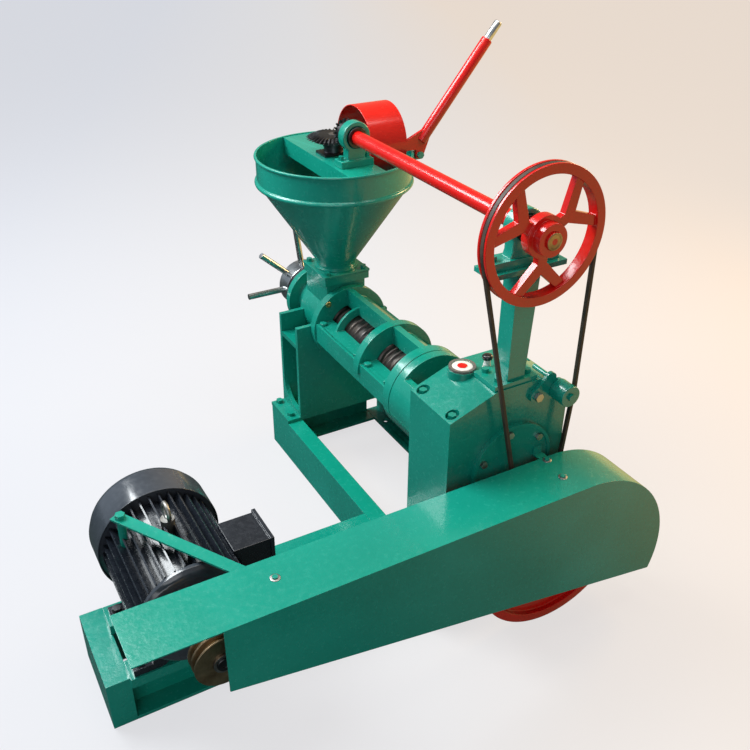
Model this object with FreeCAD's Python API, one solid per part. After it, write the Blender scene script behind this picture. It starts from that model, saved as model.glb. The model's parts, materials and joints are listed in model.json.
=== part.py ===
"""Screw oil press with belt drive, gear reducer, powered hopper feeder and electric motor.

Frame: +X along the belt guard from the motor to the large pulley, +Y from the gearbox to the
hopper, +Z up.  The origin is on the floor at the centre of the skid's four anchor holes.
Lengths are millimetres.
"""
import FreeCAD, Part
import math
import os

V = FreeCAD.Vector

# ---------------------------------------------------------------- fits and clearances
RUN_FIT = 0.05        # radial clearance of a shaft in its own bearing or bush
AIR = 0.3             # gap between faces of pieces that move past each other
SEAL_GAP = 2.0        # radial clearance where a shaft passes a wall it doesn't touch

# ---------------------------------------------------------------- skid of channel rails
SKID_HALF_WIDTH = 168.0
SKID_HALF_LENGTH = 400.0
RAIL_HEIGHT = 114.0
RAIL_FLANGE = 42.0
RAIL_WEB = 6.0
RAIL_FLANGE_THICK = 8.0
CROSS_WIDTH = 50.0
ANCHOR_HOLE_R = 7.0
ANCHOR_Y = 320.0

# ---------------------------------------------------------------- press axis
PRESS_X = 10.0
PRESS_Z = 378.0

# ---------------------------------------------------------------- press body castings
COLLAR_R = 103.0
BODY_BORE_R = 56.0
BODY_SHELL = 26.0
BODY_FLANGE_HALF = 98.0
BODY_FLANGE_THICK = 25.0
FEED_COLLAR_THICK = 22.0
MID_COLLAR_Y = 44.0
MID_COLLAR_THICK = 24.0
LOWER_MID_COLLAR_R = 94.0
END_COLLAR_THICK = 26.0
BACK_WALL_THICK = 16.0
BACK_WALL_OFFSET = 8.0
BACK_WALL_TOP = 100.0
RIB_R = 76.0
RIB_Y = 210.0
RIB_THICK = 8.0
BODY_BOLT_R = 6.0
BODY_BOLT_HEAD = 9.5
BODY_BOLT_INSET = 14.0
BODY_BOLT_SPOT = 11.5

# ---------------------------------------------------------------- press cage rings and screw
RING_R = BODY_BORE_R
RING_BORE_R = 41.0
FEED_RING_R = 52.0
FEED_RINGS = 4
MAIN_RINGS = 6
FINE_RINGS = 8
RING_EDGE = 6.0
SCREW_R = 39.0
SCREW_ROOT_R = 24.0
SCREW_THICKER_ROOT_R = 29.0
SCREW_PITCH = 44.0
SCREW_FLIGHT = 8.0
SCREW_SHAFT_R = 22.0
WORM_INSET = 8.0
SCREW_TAIL_R = 18.0
SCREW_TAIL = 40.0

# ---------------------------------------------------------------- stand under the feed end
STAND_Y = 294.0
STAND_DEPTH = 109.0
STAND_HALF_WIDTH = 131.0
STAND_PLATE = 12.0
STAND_TOP_Z = 388.0
STAND_LEDGE_Z = 338.0
STAND_WINDOW_ARC_R = 60.0
STAND_FOOT_THICK = 9.0
STAND_FOOT_BOLT_R = 6.0

# ---------------------------------------------------------------- feed block and hopper
FEED_BARREL_R = 76.0
FEED_BARREL_BORE_R = 42.0
NECK_HALF = 54.0
NECK_BORE_R = 40.0
FEED_FLANGE_HALF = 62.0
FEED_FLANGE_THICK = 26.0
FEED_FLANGE_LIP = 6.0
FEED_LIP_OUT = 1.5
FEED_BLOCK_BACK = 10.0
HOPPER_FLANGE_Z = 516.0
HOPPER_SHEET = 2.5
HOPPER_NECK_R = 47.0
HOPPER_CONE_Z = 740.0
HOPPER_RIM_Z = 803.0
HOPPER_R = 187.0
RIM_ROLL_R = 4.0
BEAD_R = 6.5
SEAM_WIDTH = 10.0
BEAM_HALF_LEFT = 52.0
BEAM_HALF_RIGHT = 42.0
BEAM_DEPTH = 40.0
BEAM_SHEET = 6.0

# ---------------------------------------------------------------- cake housing
CAKE_WALL = 12.0
CAKE_LEDGE = 24.0
CAKE_TOP_CUT = 66.0
CAKE_OUTLET_HALF = 55.0
CAKE_GROOVE = 2.0

# ---------------------------------------------------------------- gearbox
BOX_HALF_WIDTH = 140.0
BOX_FRONT_Y = -403.0
BOX_BACK_Y = -263.0
BOX_SHOULDER_Z = 509.0
BOX_WALL = 9.0
COVER_THICK = 8.0
COVER_RISE = 39.0
COVER_FLAT_LEFT = 36.0
COVER_FLAT_RIGHT = 64.0
COVER_POCKET = 26.0
COVER_SEAT = 4.0
SIGHT_X = -46.0
SIGHT_Y = -300.0
SIGHT_R = 27.0
SIGHT_BOSS = 4.0
BEARING_COVER_R = 94.0
BEARING_COVER_THICK = 8.0
BEARING_COVER_RIM = 7.0
BEARING_RIM_RISE = 3.0

# gear train: module, teeth, face width
FIRST_MODULE = 3.0
INPUT_TEETH = 16
LAY_GEAR_TEETH = 48
FIRST_FACE = 30.0
SECOND_MODULE = 4.0
LAY_PINION_TEETH = 17
OUTPUT_TEETH = 52
SECOND_FACE = 40.0
BACKLASH = 0.22
INPUT_SHAFT_R = 20.0
LAY_SHAFT_R = 17.0
BEARING_WIDTH = 14.0
REAR_BEARING_WIDTH = 6.0

# ---------------------------------------------------------------- main belt drive
INPUT_X = 72.0
INPUT_Z = 200.0
BIG_PULLEY_R = 185.0
BIG_PULLEY_RIM = 20.0
BIG_PULLEY_WEB = 12.0
BIG_PULLEY_RINGS = (72.0, 128.0)
WEB_RING_WIDTH = 7.0
WEB_RING_RISE = 4.0
MAIN_PULLEY_FRONT = -506.0
MAIN_PULLEY_WIDTH = 36.0
MAIN_BELTS = 2
GROOVE_PITCH = 16.0
GROOVE_DEPTH = 11.0
GROOVE_TOP = 13.0
GROOVE_BOTTOM = 8.0
BELT_THICK = 7.0
BELT_WIDTH = 9.0
BELT_DROP = 4.0
MOTOR_PULLEY_R = 51.0

# ---------------------------------------------------------------- feeder drive
FEED_SHAFT_Z = 869.0
FEED_SHAFT_R = 16.0
FEED_PULLEY_R = 127.0
FEED_PULLEY_RIM = 18.0
FEED_PULLEY_FRONT = -440.0
FEED_PULLEY_WIDTH = 24.0
FEED_HUB_R = 39.0
SMALL_PULLEY_R = 37.0
BEVEL_MODULE = 3.5
BEVEL_GEAR_TEETH = 34
BEVEL_PINION_TEETH = 16
BEVEL_FACE_SHARE = 0.72
AUGER_SHAFT_R = 12.0
AUGER_R = 34.0
AUGER_PITCH = 42.0
AUGER_LOW_Z = 452.0
AUGER_TOP_Z = 610.0
AUGER_BEARING_HEIGHT = 18.0

# ---------------------------------------------------------------- column and pillow blocks
COLUMN_X = 12.0
COLUMN_Y = -374.0
COLUMN_HALF_LOW = 20.0
COLUMN_HALF_TOP = 26.0
COLUMN_TOP_Z = 790.0
COLUMN_PLATE = 10.0
COLUMN_PLATE_HALF = 82.0
COLUMN_FOOT_LEFT = 40.0
COLUMN_FOOT_RIGHT = 60.0
COLUMN_FOOT_BACK = 44.0
COLUMN_TOP_FRONT = 30.0
COLUMN_TOP_BACK = 26.0
COLUMN_TOP_SHIFT = 7.0
COLUMN_BOLT_X = (-34.0, 36.0)
COLUMN_BOLT_Y = (-8.0, 32.0)
PILLOW_Y_HOPPER = 246.0
PILLOW_RING_R = 35.0
PILLOW_INSERT_R = 24.0
PILLOW_WIDTH = 26.0
PILLOW_BASE = 16.0
PILLOW_HALF_HOPPER = 42.0
PILLOW_HALF_COLUMN = 75.0
PILLOW_BOLT_EDGE = 8.5

# ---------------------------------------------------------------- belt tensioner
TENSION_PIVOT_X = 56.0
TENSION_PIVOT_Z = 524.0
ROLLER_X = 105.5
ROLLER_Z = 528.0
ROLLER_R = 22.0
ROLLER_LENGTH = 38.0
ROLLER_PIN_R = 7.0
ARM_THICK = 8.0
HANDLE_X = 86.0
HANDLE_Z = 556.0
HANDLE_R = 5.0
HANDLE_LENGTH = 46.0
TENSION_BOLT_R = 8.0

# ---------------------------------------------------------------- belt guard
GUARD_FRONT_Y = -555.0
GUARD_BACK_Y = -436.0
GUARD_TOP_Z = 390.0
GUARD_SHEET = 2.5
GUARD_LEFT_X = -797.0
GUARD_FACE_LEFT_X = -652.0
GUARD_ARC_X = 88.0
GUARD_ARC_R = 224.0
GUARD_LOW_LEFT_Z = 252.0
GUARD_END_DEG = -20.0
STRAP_X = 60.0
STRAP_WIDTH = 20.0
BRACE_GUARD = (-573.0, -446.0)
BRACE_MOTOR = (-717.0, -208.0)
GUARD_SCREWS = ((69.0, -446.0), (61.0, -504.0), (-535.0, -486.0))

# ---------------------------------------------------------------- gear guard with lever
DRUM_R = 88.0
DRUM_SHEET = 2.5
DRUM_Y = 345.0
DRUM_Z = 822.0
DRUM_LEFT_X = 62.0
DRUM_RIGHT_X = 158.0
DRUM_OPEN_DEG = 45.0
LEVER_PIN_GAP = 14.0
LEVER_PIN_Z = 797.0
LEVER_Y = 262.0
LEVER_LEAN_DEG = 39.2
LEVER_LENGTH = 347.0
LEVER_OFFSET = 17.0
LEVER_R = 13.5
LEVER_WALL = 2.5
LEVER_TIP_R = 9.5
LEVER_TIP_LENGTH = 48.0
LEVER_PIN_R = 5.0
LEVER_TAB = 8.0
LEVER_START = 27.0
LUG_THICK = 8.0
LUG_OVERLAP = 16.0

# ---------------------------------------------------------------- adjusting handwheel
SLEEVE_R = 60.0
SLEEVE_FLANGE_R = 88.0
SLEEVE_LENGTH = 80.0
SLEEVE_FLANGE_SET = 8.0
SLEEVE_FLANGE_THICK = 20.0
LOCK_RING_R = 69.0
LOCK_RING_WIDTH = 34.0
HUB_R = 66.0
HUB_WIDTH = 55.0
THREAD_R = 46.0
THRUST_GAP = 6.0
ROD_R = 8.0
ROD_REACH = 168.0
ROD_ANGLES = (97.0, 138.0, 180.0)

# ---------------------------------------------------------------- motor and its base
MOTOR_X = -643.0
MOTOR_Z = 268.0
MOTOR_CORE_R = 92.0
MOTOR_FIN_R = 110.0
MOTOR_FINS = 36
MOTOR_FIN_THICK = 3.2
ROTOR_R = 60.0
EYEBOLT_Y = -250.0
EYEBOLT_BASE_R = 13.0
MOTOR_FRONT_Y = -372.0
MOTOR_BACK_Y = -158.0
MOTOR_SHIELD = 26.0
FAN_COVER_R = 120.0
FAN_COVER_LENGTH = 94.0
FAN_COVER_SHEET = 2.5
FAN_COVER_LAP = 5.0
FAN_R = 100.0
FAN_HUB_R = 30.0
FAN_START = 22.0
FAN_WIDTH = 26.0
FAN_BLADES = 8
MOTOR_SHAFT_R = 19.0
MOTOR_FOOT_Y = (-330.0, -184.0)
MOTOR_FOOT_HALF = 122.0
MOTOR_FOOT_THICK = 14.0
MOTOR_FOOT_WIDTH = 34.0
PAD_THICK = 22.0
TERMINAL_Y = -300.0
TERMINAL_Z = 300.0
TERMINAL_LENGTH = 86.0
TERMINAL_HEIGHT = 86.0
TERMINAL_LID_X = -485.0
BASE_LEFT_X = -816.0
BASE_FRONT_Y = -326.0
BASE_REAR_Y = -124.0
BASE_END_WIDTH = 46.0


# ================================================================ shape helpers
def box(x0, x1, y0, y1, z0, z1):
    return Part.makeBox(x1 - x0, y1 - y0, z1 - z0, V(x0, y0, z0))


def rod_x(y, z, r, x0, x1):
    return Part.makeCylinder(r, x1 - x0, V(x0, y, z), V(1, 0, 0))


def rod_y(x, z, r, y0, y1):
    return Part.makeCylinder(r, y1 - y0, V(x, y0, z), V(0, 1, 0))


def rod_z(x, y, r, z0, z1):
    return Part.makeCylinder(r, z1 - z0, V(x, y, z0), V(0, 0, 1))


def tube_y(x, z, r_out, r_in, y0, y1):
    return rod_y(x, z, r_out, y0, y1).cut(rod_y(x, z, r_in, y0 - 1, y1 + 1))


def fuse(first, *others):
    return first.multiFuse(list(others)).removeSplitter()


def plate_xz(points, y0, y1):
    """Prism over a polygon of (x, z) corners from y0 to y1."""
    wire = Part.makePolygon([V(x, y0, z) for x, z in points + points[:1]])
    return Part.Face(wire).extrude(V(0, y1 - y0, 0))


def plate_yz(points, x0, x1):
    """Prism over a polygon of (y, z) corners from x0 to x1."""
    wire = Part.makePolygon([V(x0, y, z) for y, z in points + points[:1]])
    return Part.Face(wire).extrude(V(x1 - x0, 0, 0))


def polar(x, z, r, degrees):
    a = math.radians(degrees)
    return (x + r * math.cos(a), z + r * math.sin(a))


def revolve_y(x, z, profile):
    """Solid of revolution about the line through (x, z) along Y; profile is (radius, y)."""
    wire = Part.makePolygon([V(x + r, y, z) for r, y in profile + profile[:1]])
    return Part.Face(wire).revolve(V(x, 0, z), V(0, 1, 0), 360)


def revolve_z(x, y, profile):
    """Solid of revolution about the upright line through (x, y); profile is (radius, z)."""
    wire = Part.makePolygon([V(x + r, y, z) for r, z in profile + profile[:1]])
    return Part.Face(wire).revolve(V(x, y, 0), V(0, 0, 1), 360)


def hex_head(x, y, z, across, height, direction):
    """Hexagonal head standing at (x, y, z) along direction."""
    corners = [V(math.cos(math.radians(60 * k)) * across / 2, math.sin(math.radians(60 * k)) * across / 2, 0)
               for k in range(6)]
    head = Part.Face(Part.makePolygon(corners + corners[:1])).extrude(V(0, 0, height))
    turn = FreeCAD.Rotation(V(0, 0, 1), direction)
    head.Placement = FreeCAD.Placement(V(x, y, z), turn)
    return head


def tooth_outline(teeth, root_r, tip_r, root_fill, tip_fill, phase):
    """Closed list of (u, v) corners of a straight-flanked gear outline."""
    step = 2 * math.pi / teeth
    corners = []
    for k in range(teeth):
        middle = phase + k * step
        for r, share in ((root_r, -root_fill), (tip_r, -tip_fill), (tip_r, tip_fill), (root_r, root_fill)):
            angle = middle + share * step / 2
            corners.append((r * math.cos(angle), r * math.sin(angle)))
    return corners


def spur_gear(x, z, module, teeth, y0, y1, phase, bore_r):
    """Spur gear about a Y axis; phase is the angle of one tooth's middle from +X."""
    pitch_r = module * teeth / 2
    outline = tooth_outline(teeth, pitch_r - 1.25 * module, pitch_r + 0.9 * module,
                            0.74 - BACKLASH, 0.46 - BACKLASH, phase)
    gear = plate_xz([(x + u, z + v) for u, v in outline], y0, y1)
    return gear.cut(rod_y(x, z, bore_r, y0 - 1, y1 + 1))


def v_groove_cut(x, z, outer_r, y_mid):
    """Ring with a V section, taken out of a pulley rim at y_mid."""
    return revolve_y(x, z, [(outer_r + 1, y_mid - GROOVE_TOP / 2), (outer_r + 1, y_mid + GROOVE_TOP / 2),
                            (outer_r - GROOVE_DEPTH, y_mid + GROOVE_BOTTOM / 2),
                            (outer_r - GROOVE_DEPTH, y_mid - GROOVE_BOTTOM / 2)])


def channel_y(x_web, x_tip, y0, y1, height):
    """Channel rail along Y with its web at x_web and its flanges reaching to x_tip."""
    side = 1 if x_tip > x_web else -1
    web_x = sorted((x_web, x_web + side * RAIL_WEB))
    hollow_x = sorted((x_web + side * RAIL_WEB, x_tip + side))
    solid_x = sorted((x_web, x_tip))
    rail = box(solid_x[0], solid_x[1], y0, y1, 0, height)
    hollow = box(hollow_x[0], hollow_x[1], y0 - 1, y1 + 1, RAIL_FLANGE_THICK, height - RAIL_FLANGE_THICK)
    return rail.cut(hollow)


def channel_x(y_web, y_tip, x0, x1, height):
    """Channel rail along X with its web at y_web and its flanges reaching to y_tip."""
    side = 1 if y_tip > y_web else -1
    hollow_y = sorted((y_web + side * RAIL_WEB, y_tip + side))
    solid_y = sorted((y_web, y_tip))
    rail = box(x0, x1, solid_y[0], solid_y[1], 0, height)
    hollow = box(x0 - 1, x1 + 1, hollow_y[0], hollow_y[1], RAIL_FLANGE_THICK, height - RAIL_FLANGE_THICK)
    return rail.cut(hollow)


# ================================================================ derived stations
STAND_BACK_Y = STAND_Y + STAND_DEPTH
HOPPER_Y = STAND_Y + STAND_DEPTH / 2
FEED_BLOCK_BACK_Y = STAND_BACK_Y + FEED_BLOCK_BACK
LEVER_PIN_X = (PRESS_X + math.sqrt((HOPPER_R + RIM_ROLL_R) ** 2 - (HOPPER_Y - LEVER_Y) ** 2)
               + LEVER_PIN_GAP)
FEED_COLLAR_Y = STAND_Y - FEED_COLLAR_THICK
END_COLLAR_BACK_Y = -72.0
BODY_END_Y = END_COLLAR_BACK_Y - END_COLLAR_THICK
FLANGE_TOP_Z = PRESS_Z + BODY_FLANGE_THICK
FEED_FLANGE_Z = HOPPER_FLANGE_Z - FEED_FLANGE_THICK
BOX_MID_Z = BOX_SHOULDER_Z + COVER_THICK
COVER_TOP_Z = BOX_MID_Z + COVER_RISE
COLUMN_FOOT_Z = COVER_TOP_Z + COLUMN_PLATE
PILLOW_Y_COLUMN = COLUMN_Y
HUB_Y = STAND_BACK_Y + SLEEVE_LENGTH + LOCK_RING_WIDTH + 2 * AIR
BELT_Y = FEED_PULLEY_FRONT + FEED_PULLEY_WIDTH / 2
MOTOR_PAD_Z = RAIL_HEIGHT + PAD_THICK
FAN_COVER_FRONT_Y = MOTOR_BACK_Y - FAN_COVER_LAP
FAN_FRONT_Y = MOTOR_BACK_Y + FAN_START
FAN_BACK_Y = FAN_FRONT_Y + FAN_WIDTH
MAIN_PULLEY_BACK = MAIN_PULLEY_FRONT + MAIN_PULLEY_WIDTH
MAIN_BELT_YS = [MAIN_PULLEY_FRONT + MAIN_PULLEY_WIDTH / 2 + (k - (MAIN_BELTS - 1) / 2) * GROOVE_PITCH
                for k in range(MAIN_BELTS)]


# ================================================================ skid and motor base
def skid_rail(side):
    rail = channel_y(side * SKID_HALF_WIDTH, side * (SKID_HALF_WIDTH - RAIL_FLANGE),
                     -SKID_HALF_LENGTH, SKID_HALF_LENGTH, RAIL_HEIGHT)
    hole_x = side * (SKID_HALF_WIDTH - RAIL_FLANGE / 2)
    for y in (-ANCHOR_Y, ANCHOR_Y):
        rail = rail.cut(rod_z(hole_x, y, ANCHOR_HOLE_R, -1, RAIL_FLANGE_THICK + 1))
    return rail


def skid_cross(y_outer, direction):
    inner = SKID_HALF_WIDTH - RAIL_FLANGE
    return channel_x(y_outer, y_outer + direction * CROSS_WIDTH, -inner, inner, RAIL_HEIGHT)


def motor_base_end():
    """End channel of the motor base, its front end closed by a plate."""
    tip = BASE_LEFT_X + BASE_END_WIDTH
    rail = channel_y(BASE_LEFT_X, tip, BASE_FRONT_Y, BASE_REAR_Y, RAIL_HEIGHT)
    plate = box(BASE_LEFT_X, tip, BASE_FRONT_Y, BASE_FRONT_Y + RAIL_WEB, 0, RAIL_HEIGHT)
    return rail.fuse(plate).removeSplitter()


def motor_base_front():
    return channel_x(BASE_FRONT_Y + BASE_END_WIDTH, BASE_FRONT_Y, BASE_LEFT_X + BASE_END_WIDTH,
                     -SKID_HALF_WIDTH, RAIL_HEIGHT)


def motor_base_rear():
    return channel_x(BASE_REAR_Y - BASE_END_WIDTH, BASE_REAR_Y, BASE_LEFT_X + BASE_END_WIDTH,
                     -SKID_HALF_WIDTH, RAIL_HEIGHT)


def motor_pad(y):
    reach = MOTOR_FOOT_HALF + 8
    return box(MOTOR_X - reach, MOTOR_X + reach, y - MOTOR_FOOT_WIDTH / 2 - 4, y + MOTOR_FOOT_WIDTH / 2 + 4,
               RAIL_HEIGHT, MOTOR_PAD_Z)


# ================================================================ stand and feed end
def rear_stand():
    w, t = STAND_HALF_WIDTH, STAND_PLATE
    front = box(-w, w, STAND_Y, STAND_Y + t, RAIL_HEIGHT, STAND_TOP_Z)
    back = box(-w, w, STAND_BACK_Y - t, STAND_BACK_Y, RAIL_HEIGHT, STAND_TOP_Z)
    ledge = box(-w, w, STAND_Y, STAND_BACK_Y, STAND_LEDGE_Z - t, STAND_LEDGE_Z)
    stand = fuse(front, back, ledge)
    for side in (-1, 1):
        stand = stand.fuse(stand_wall(side))
        foot_x = sorted((side * w, side * SKID_HALF_WIDTH))
        stand = stand.fuse(box(foot_x[0], foot_x[1], STAND_Y, STAND_BACK_Y, RAIL_HEIGHT,
                               RAIL_HEIGHT + STAND_FOOT_THICK))
    stand = stand.cut(rod_y(PRESS_X, PRESS_Z, FEED_BARREL_R, STAND_Y - 1, STAND_BACK_Y + 1))
    return stand.removeSplitter()


def stand_wall(side):
    """Side wall with an arched window whose lower back corner is a large fillet."""
    w, t = STAND_HALF_WIDTH, STAND_PLATE
    wall_x = sorted((side * w, side * (w - t)))
    y0, y1 = STAND_Y + t, STAND_BACK_Y - t
    low, high = RAIL_HEIGHT + 22, STAND_LEDGE_Z - t
    r = STAND_WINDOW_ARC_R
    mid = math.radians(225)
    a = V(wall_x[0], y1, low + r)
    b = V(wall_x[0], y1 - r, low)
    m = V(wall_x[0], y1 - r - r * math.cos(mid), low + r + r * math.sin(mid))
    edges = [Part.makeLine(V(wall_x[0], y0, low), V(wall_x[0], y0, high)),
             Part.makeLine(V(wall_x[0], y0, high), V(wall_x[0], y1, high)),
             Part.makeLine(V(wall_x[0], y1, high), a),
             Part.Arc(a, m, b).toShape(),
             Part.makeLine(b, V(wall_x[0], y0, low))]
    window = Part.Face(Part.Wire(edges)).extrude(V(t, 0, 0))
    return box(wall_x[0], wall_x[1], STAND_Y, STAND_BACK_Y, RAIL_HEIGHT, high).cut(window)


def feed_block():
    """Square casting on the stand: barrel below, throat and lipped flange above."""
    barrel = rod_y(PRESS_X, PRESS_Z, FEED_BARREL_R - AIR, STAND_Y, FEED_BLOCK_BACK_Y)
    n, f, lip_z = NECK_HALF, FEED_FLANGE_HALF, HOPPER_FLANGE_Z - FEED_FLANGE_LIP
    body = box(PRESS_X - n, PRESS_X + n, STAND_Y, FEED_BLOCK_BACK_Y, STAND_TOP_Z + AIR, FEED_FLANGE_Z)
    flange = throat_plate(f, FEED_FLANGE_Z, lip_z)
    lip = throat_plate(f + FEED_LIP_OUT, lip_z, HOPPER_FLANGE_Z)
    block = fuse(barrel, body, flange, lip)
    block = block.cut(rod_z(PRESS_X, HOPPER_Y, NECK_BORE_R, PRESS_Z, HOPPER_FLANGE_Z + 1))
    return block.cut(rod_y(PRESS_X, PRESS_Z, FEED_BARREL_BORE_R, STAND_Y - 1, FEED_BLOCK_BACK_Y + 1))


def throat_plate(half, z0, z1):
    return box(PRESS_X - half, PRESS_X + half, HOPPER_Y - half, HOPPER_Y + half, z0, z1)


# ================================================================ press body
def half_space(upper):
    reach = 2 * COLLAR_R
    z0, z1 = (PRESS_Z, PRESS_Z + reach) if upper else (PRESS_Z - reach, PRESS_Z)
    return box(PRESS_X - reach, PRESS_X + reach, BODY_END_Y - 1, STAND_Y + 1, z0, z1)


def collar_stations():
    return ((BODY_END_Y, END_COLLAR_BACK_Y), (MID_COLLAR_Y, MID_COLLAR_Y + MID_COLLAR_THICK),
            (FEED_COLLAR_Y, STAND_Y))


def body_bolt_places():
    """Bolts of the split flanges: one pair beside each face of every collar."""
    ys = [END_COLLAR_BACK_Y + BODY_BOLT_INSET, MID_COLLAR_Y - BODY_BOLT_INSET,
          MID_COLLAR_Y + MID_COLLAR_THICK + BODY_BOLT_INSET, FEED_COLLAR_Y - BODY_BOLT_INSET]
    return [(PRESS_X + side * (BODY_FLANGE_HALF - BODY_BOLT_INSET), y) for y in ys for side in (-1, 1)]


def body_half(upper):
    half = half_space(upper)
    body = rod_y(PRESS_X, PRESS_Z, BODY_BORE_R + BODY_SHELL, BODY_END_Y, STAND_Y)
    for y0, y1 in collar_stations():
        smaller = y0 == MID_COLLAR_Y and not upper
        body = body.fuse(rod_y(PRESS_X, PRESS_Z, LOWER_MID_COLLAR_R if smaller else COLLAR_R, y0, y1))
    sign = 1 if upper else -1
    z0, z1 = sorted((PRESS_Z, PRESS_Z + sign * BODY_FLANGE_THICK))
    w = BODY_FLANGE_HALF
    body = body.fuse(box(PRESS_X - w, PRESS_X + w, BODY_END_Y, STAND_Y, z0, z1))
    if upper:
        body = body.cut(inspection_windows())
        body = body.fuse(back_wall()).fuse(end_rib())
    body = body.common(half)
    body = body.cut(rod_y(PRESS_X, PRESS_Z, BODY_BORE_R, BODY_END_Y - 1, STAND_Y + 1))
    for x, y in body_bolt_places():
        body = body.cut(body_bolt_hole(x, y))
    return body.removeSplitter()


def body_bolt_hole(x, y):
    """Bolt hole through both flanges, spot faced for the head above and the nut below."""
    low = PRESS_Z - BODY_FLANGE_THICK
    hole = rod_z(x, y, BODY_BOLT_R + 0.5, low - 1, FLANGE_TOP_Z + 1)
    above = rod_z(x, y, BODY_BOLT_SPOT, FLANGE_TOP_Z, FLANGE_TOP_Z + COLLAR_R)
    below = rod_z(x, y, BODY_BOLT_SPOT, low - COLLAR_R, low)
    return hole.fuse(above).fuse(below)


def inspection_windows():
    """Upper left quarter between the collars, open above the flange."""
    edge = PRESS_X - BACK_WALL_OFFSET
    cut = None
    for y0, y1 in ((END_COLLAR_BACK_Y, MID_COLLAR_Y), (MID_COLLAR_Y + MID_COLLAR_THICK, FEED_COLLAR_Y)):
        part = box(edge - 2 * COLLAR_R, edge, y0, y1, FLANGE_TOP_Z, FLANGE_TOP_Z + COLLAR_R)
        cut = part if cut is None else cut.fuse(part)
    return cut


def back_wall():
    x0 = PRESS_X - BACK_WALL_OFFSET
    return box(x0, x0 + BACK_WALL_THICK, BODY_END_Y, STAND_Y, PRESS_Z + BODY_BORE_R - 10,
               PRESS_Z + BACK_WALL_TOP)


def end_rib():
    """Small half collar that holds the end of the main ring pack."""
    return rod_y(PRESS_X, PRESS_Z, RIB_R, RIB_Y, RIB_Y + RIB_THICK)


def body_bolts():
    bolts = []
    low = PRESS_Z - BODY_FLANGE_THICK
    for x, y in body_bolt_places():
        shank = rod_z(x, y, BODY_BOLT_R, low - 7, FLANGE_TOP_Z + 6)
        head = hex_head(x, y, FLANGE_TOP_Z, 2 * BODY_BOLT_HEAD, 7, V(0, 0, 1))
        nut = hex_head(x, y, low, 2 * BODY_BOLT_HEAD, 8, V(0, 0, -1))
        bolts.append(fuse(shank, head, nut))
    return Part.makeCompound(bolts)


# ================================================================ press cage and screw
def press_ring(y0, y1, r):
    """Cage ring with one bevelled edge, so that a row of rings shows a groove at each joint."""
    e = RING_EDGE
    return revolve_y(PRESS_X, PRESS_Z, [(RING_BORE_R, y0), (r - e, y0), (r, y0 + e), (r, y1 - e / 2),
                                        (r - e, y1), (RING_BORE_R, y1)])


def ring_row(y0, y1, count, r):
    width = (y1 - y0) / count
    return Part.makeCompound([press_ring(y0 + k * width, y0 + (k + 1) * width, r) for k in range(count)])


def flight(x, y, z, axis, core_r, tip_r, pitch, length, thick):
    """Helical flight of a screw whose axis starts at (x, y, z)."""
    helix = Part.makeHelix(pitch, length, core_r)
    depth = tip_r - core_r
    corners = [V(core_r - 2, 0, -thick / 2), V(core_r + depth, 0, -thick / 2 + 1),
               V(core_r + depth, 0, thick / 2 - 1), V(core_r - 2, 0, thick / 2)]
    section = Part.makePolygon(corners + corners[:1])
    sweep = Part.Wire(helix.Edges).makePipeShell([section], True, True)
    sweep.Placement = FreeCAD.Placement(V(x, y, z), FreeCAD.Rotation(V(0, 0, 1), axis))
    return sweep


def press_screw():
    """Main screw: gearbox shaft, worm whose root thickens toward the outlet, tail journal."""
    y0, worm0, worm1 = BOX_FRONT_Y + BOX_WALL + AIR, BODY_END_Y + WORM_INSET, STAND_BACK_Y - 14
    tail = STAND_BACK_Y + SCREW_TAIL
    core = revolve_y(PRESS_X, PRESS_Z, [(0, y0), (SCREW_SHAFT_R, y0), (SCREW_SHAFT_R, worm0),
                                        (SCREW_THICKER_ROOT_R, worm0), (SCREW_ROOT_R, worm1),
                                        (SCREW_TAIL_R, worm1), (SCREW_TAIL_R, tail), (0, tail)])
    worm = flight(PRESS_X, worm0 + SCREW_FLIGHT, PRESS_Z, V(0, 1, 0), SCREW_ROOT_R, SCREW_R, SCREW_PITCH,
                  worm1 - worm0 - 2 * SCREW_FLIGHT, SCREW_FLIGHT)
    return core.fuse(worm)


def output_gear():
    mid = (GEAR_REAR_Y0 + GEAR_REAR_Y1) / 2
    gear = spur_gear(PRESS_X, PRESS_Z, SECOND_MODULE, OUTPUT_TEETH, GEAR_REAR_Y0, GEAR_REAR_Y1,
                     OUTPUT_PHASE, SCREW_SHAFT_R)
    for y0, y1 in ((GEAR_REAR_Y0 - 1, mid - 7), (mid + 7, GEAR_REAR_Y1 + 1)):
        gear = gear.cut(tube_y(PRESS_X, PRESS_Z, OUTPUT_R - 16, SCREW_SHAFT_R + 16, y0, y1))
    return gear


# ================================================================ cake housing
def cake_housing():
    """Cylindrical housing between press body and gearbox, cut open on top and below."""
    y0, y1 = BOX_BACK_Y, BODY_END_Y - CAKE_GROOVE
    house = tube_y(PRESS_X, PRESS_Z, COLLAR_R, COLLAR_R - CAKE_WALL, y0, y1)
    ledge_y = y1 - CAKE_LEDGE
    house = house.fuse(tube_y(PRESS_X, PRESS_Z, COLLAR_R, BODY_BORE_R, ledge_y, BODY_END_Y))
    reach = COLLAR_R + 5
    top_cut = box(PRESS_X - reach, PRESS_X + reach, y0 + 5, ledge_y, PRESS_Z + CAKE_TOP_CUT, PRESS_Z + reach)
    low_cut = box(PRESS_X - CAKE_OUTLET_HALF, PRESS_X + CAKE_OUTLET_HALF, y0 + 20, ledge_y - 6,
                  PRESS_Z - reach, PRESS_Z - CAKE_TOP_CUT)
    groove = tube_y(PRESS_X, PRESS_Z, reach, COLLAR_R - 4, y1, BODY_END_Y + 1)
    return house.cut(top_cut).cut(low_cut).cut(groove).removeSplitter()


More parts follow.
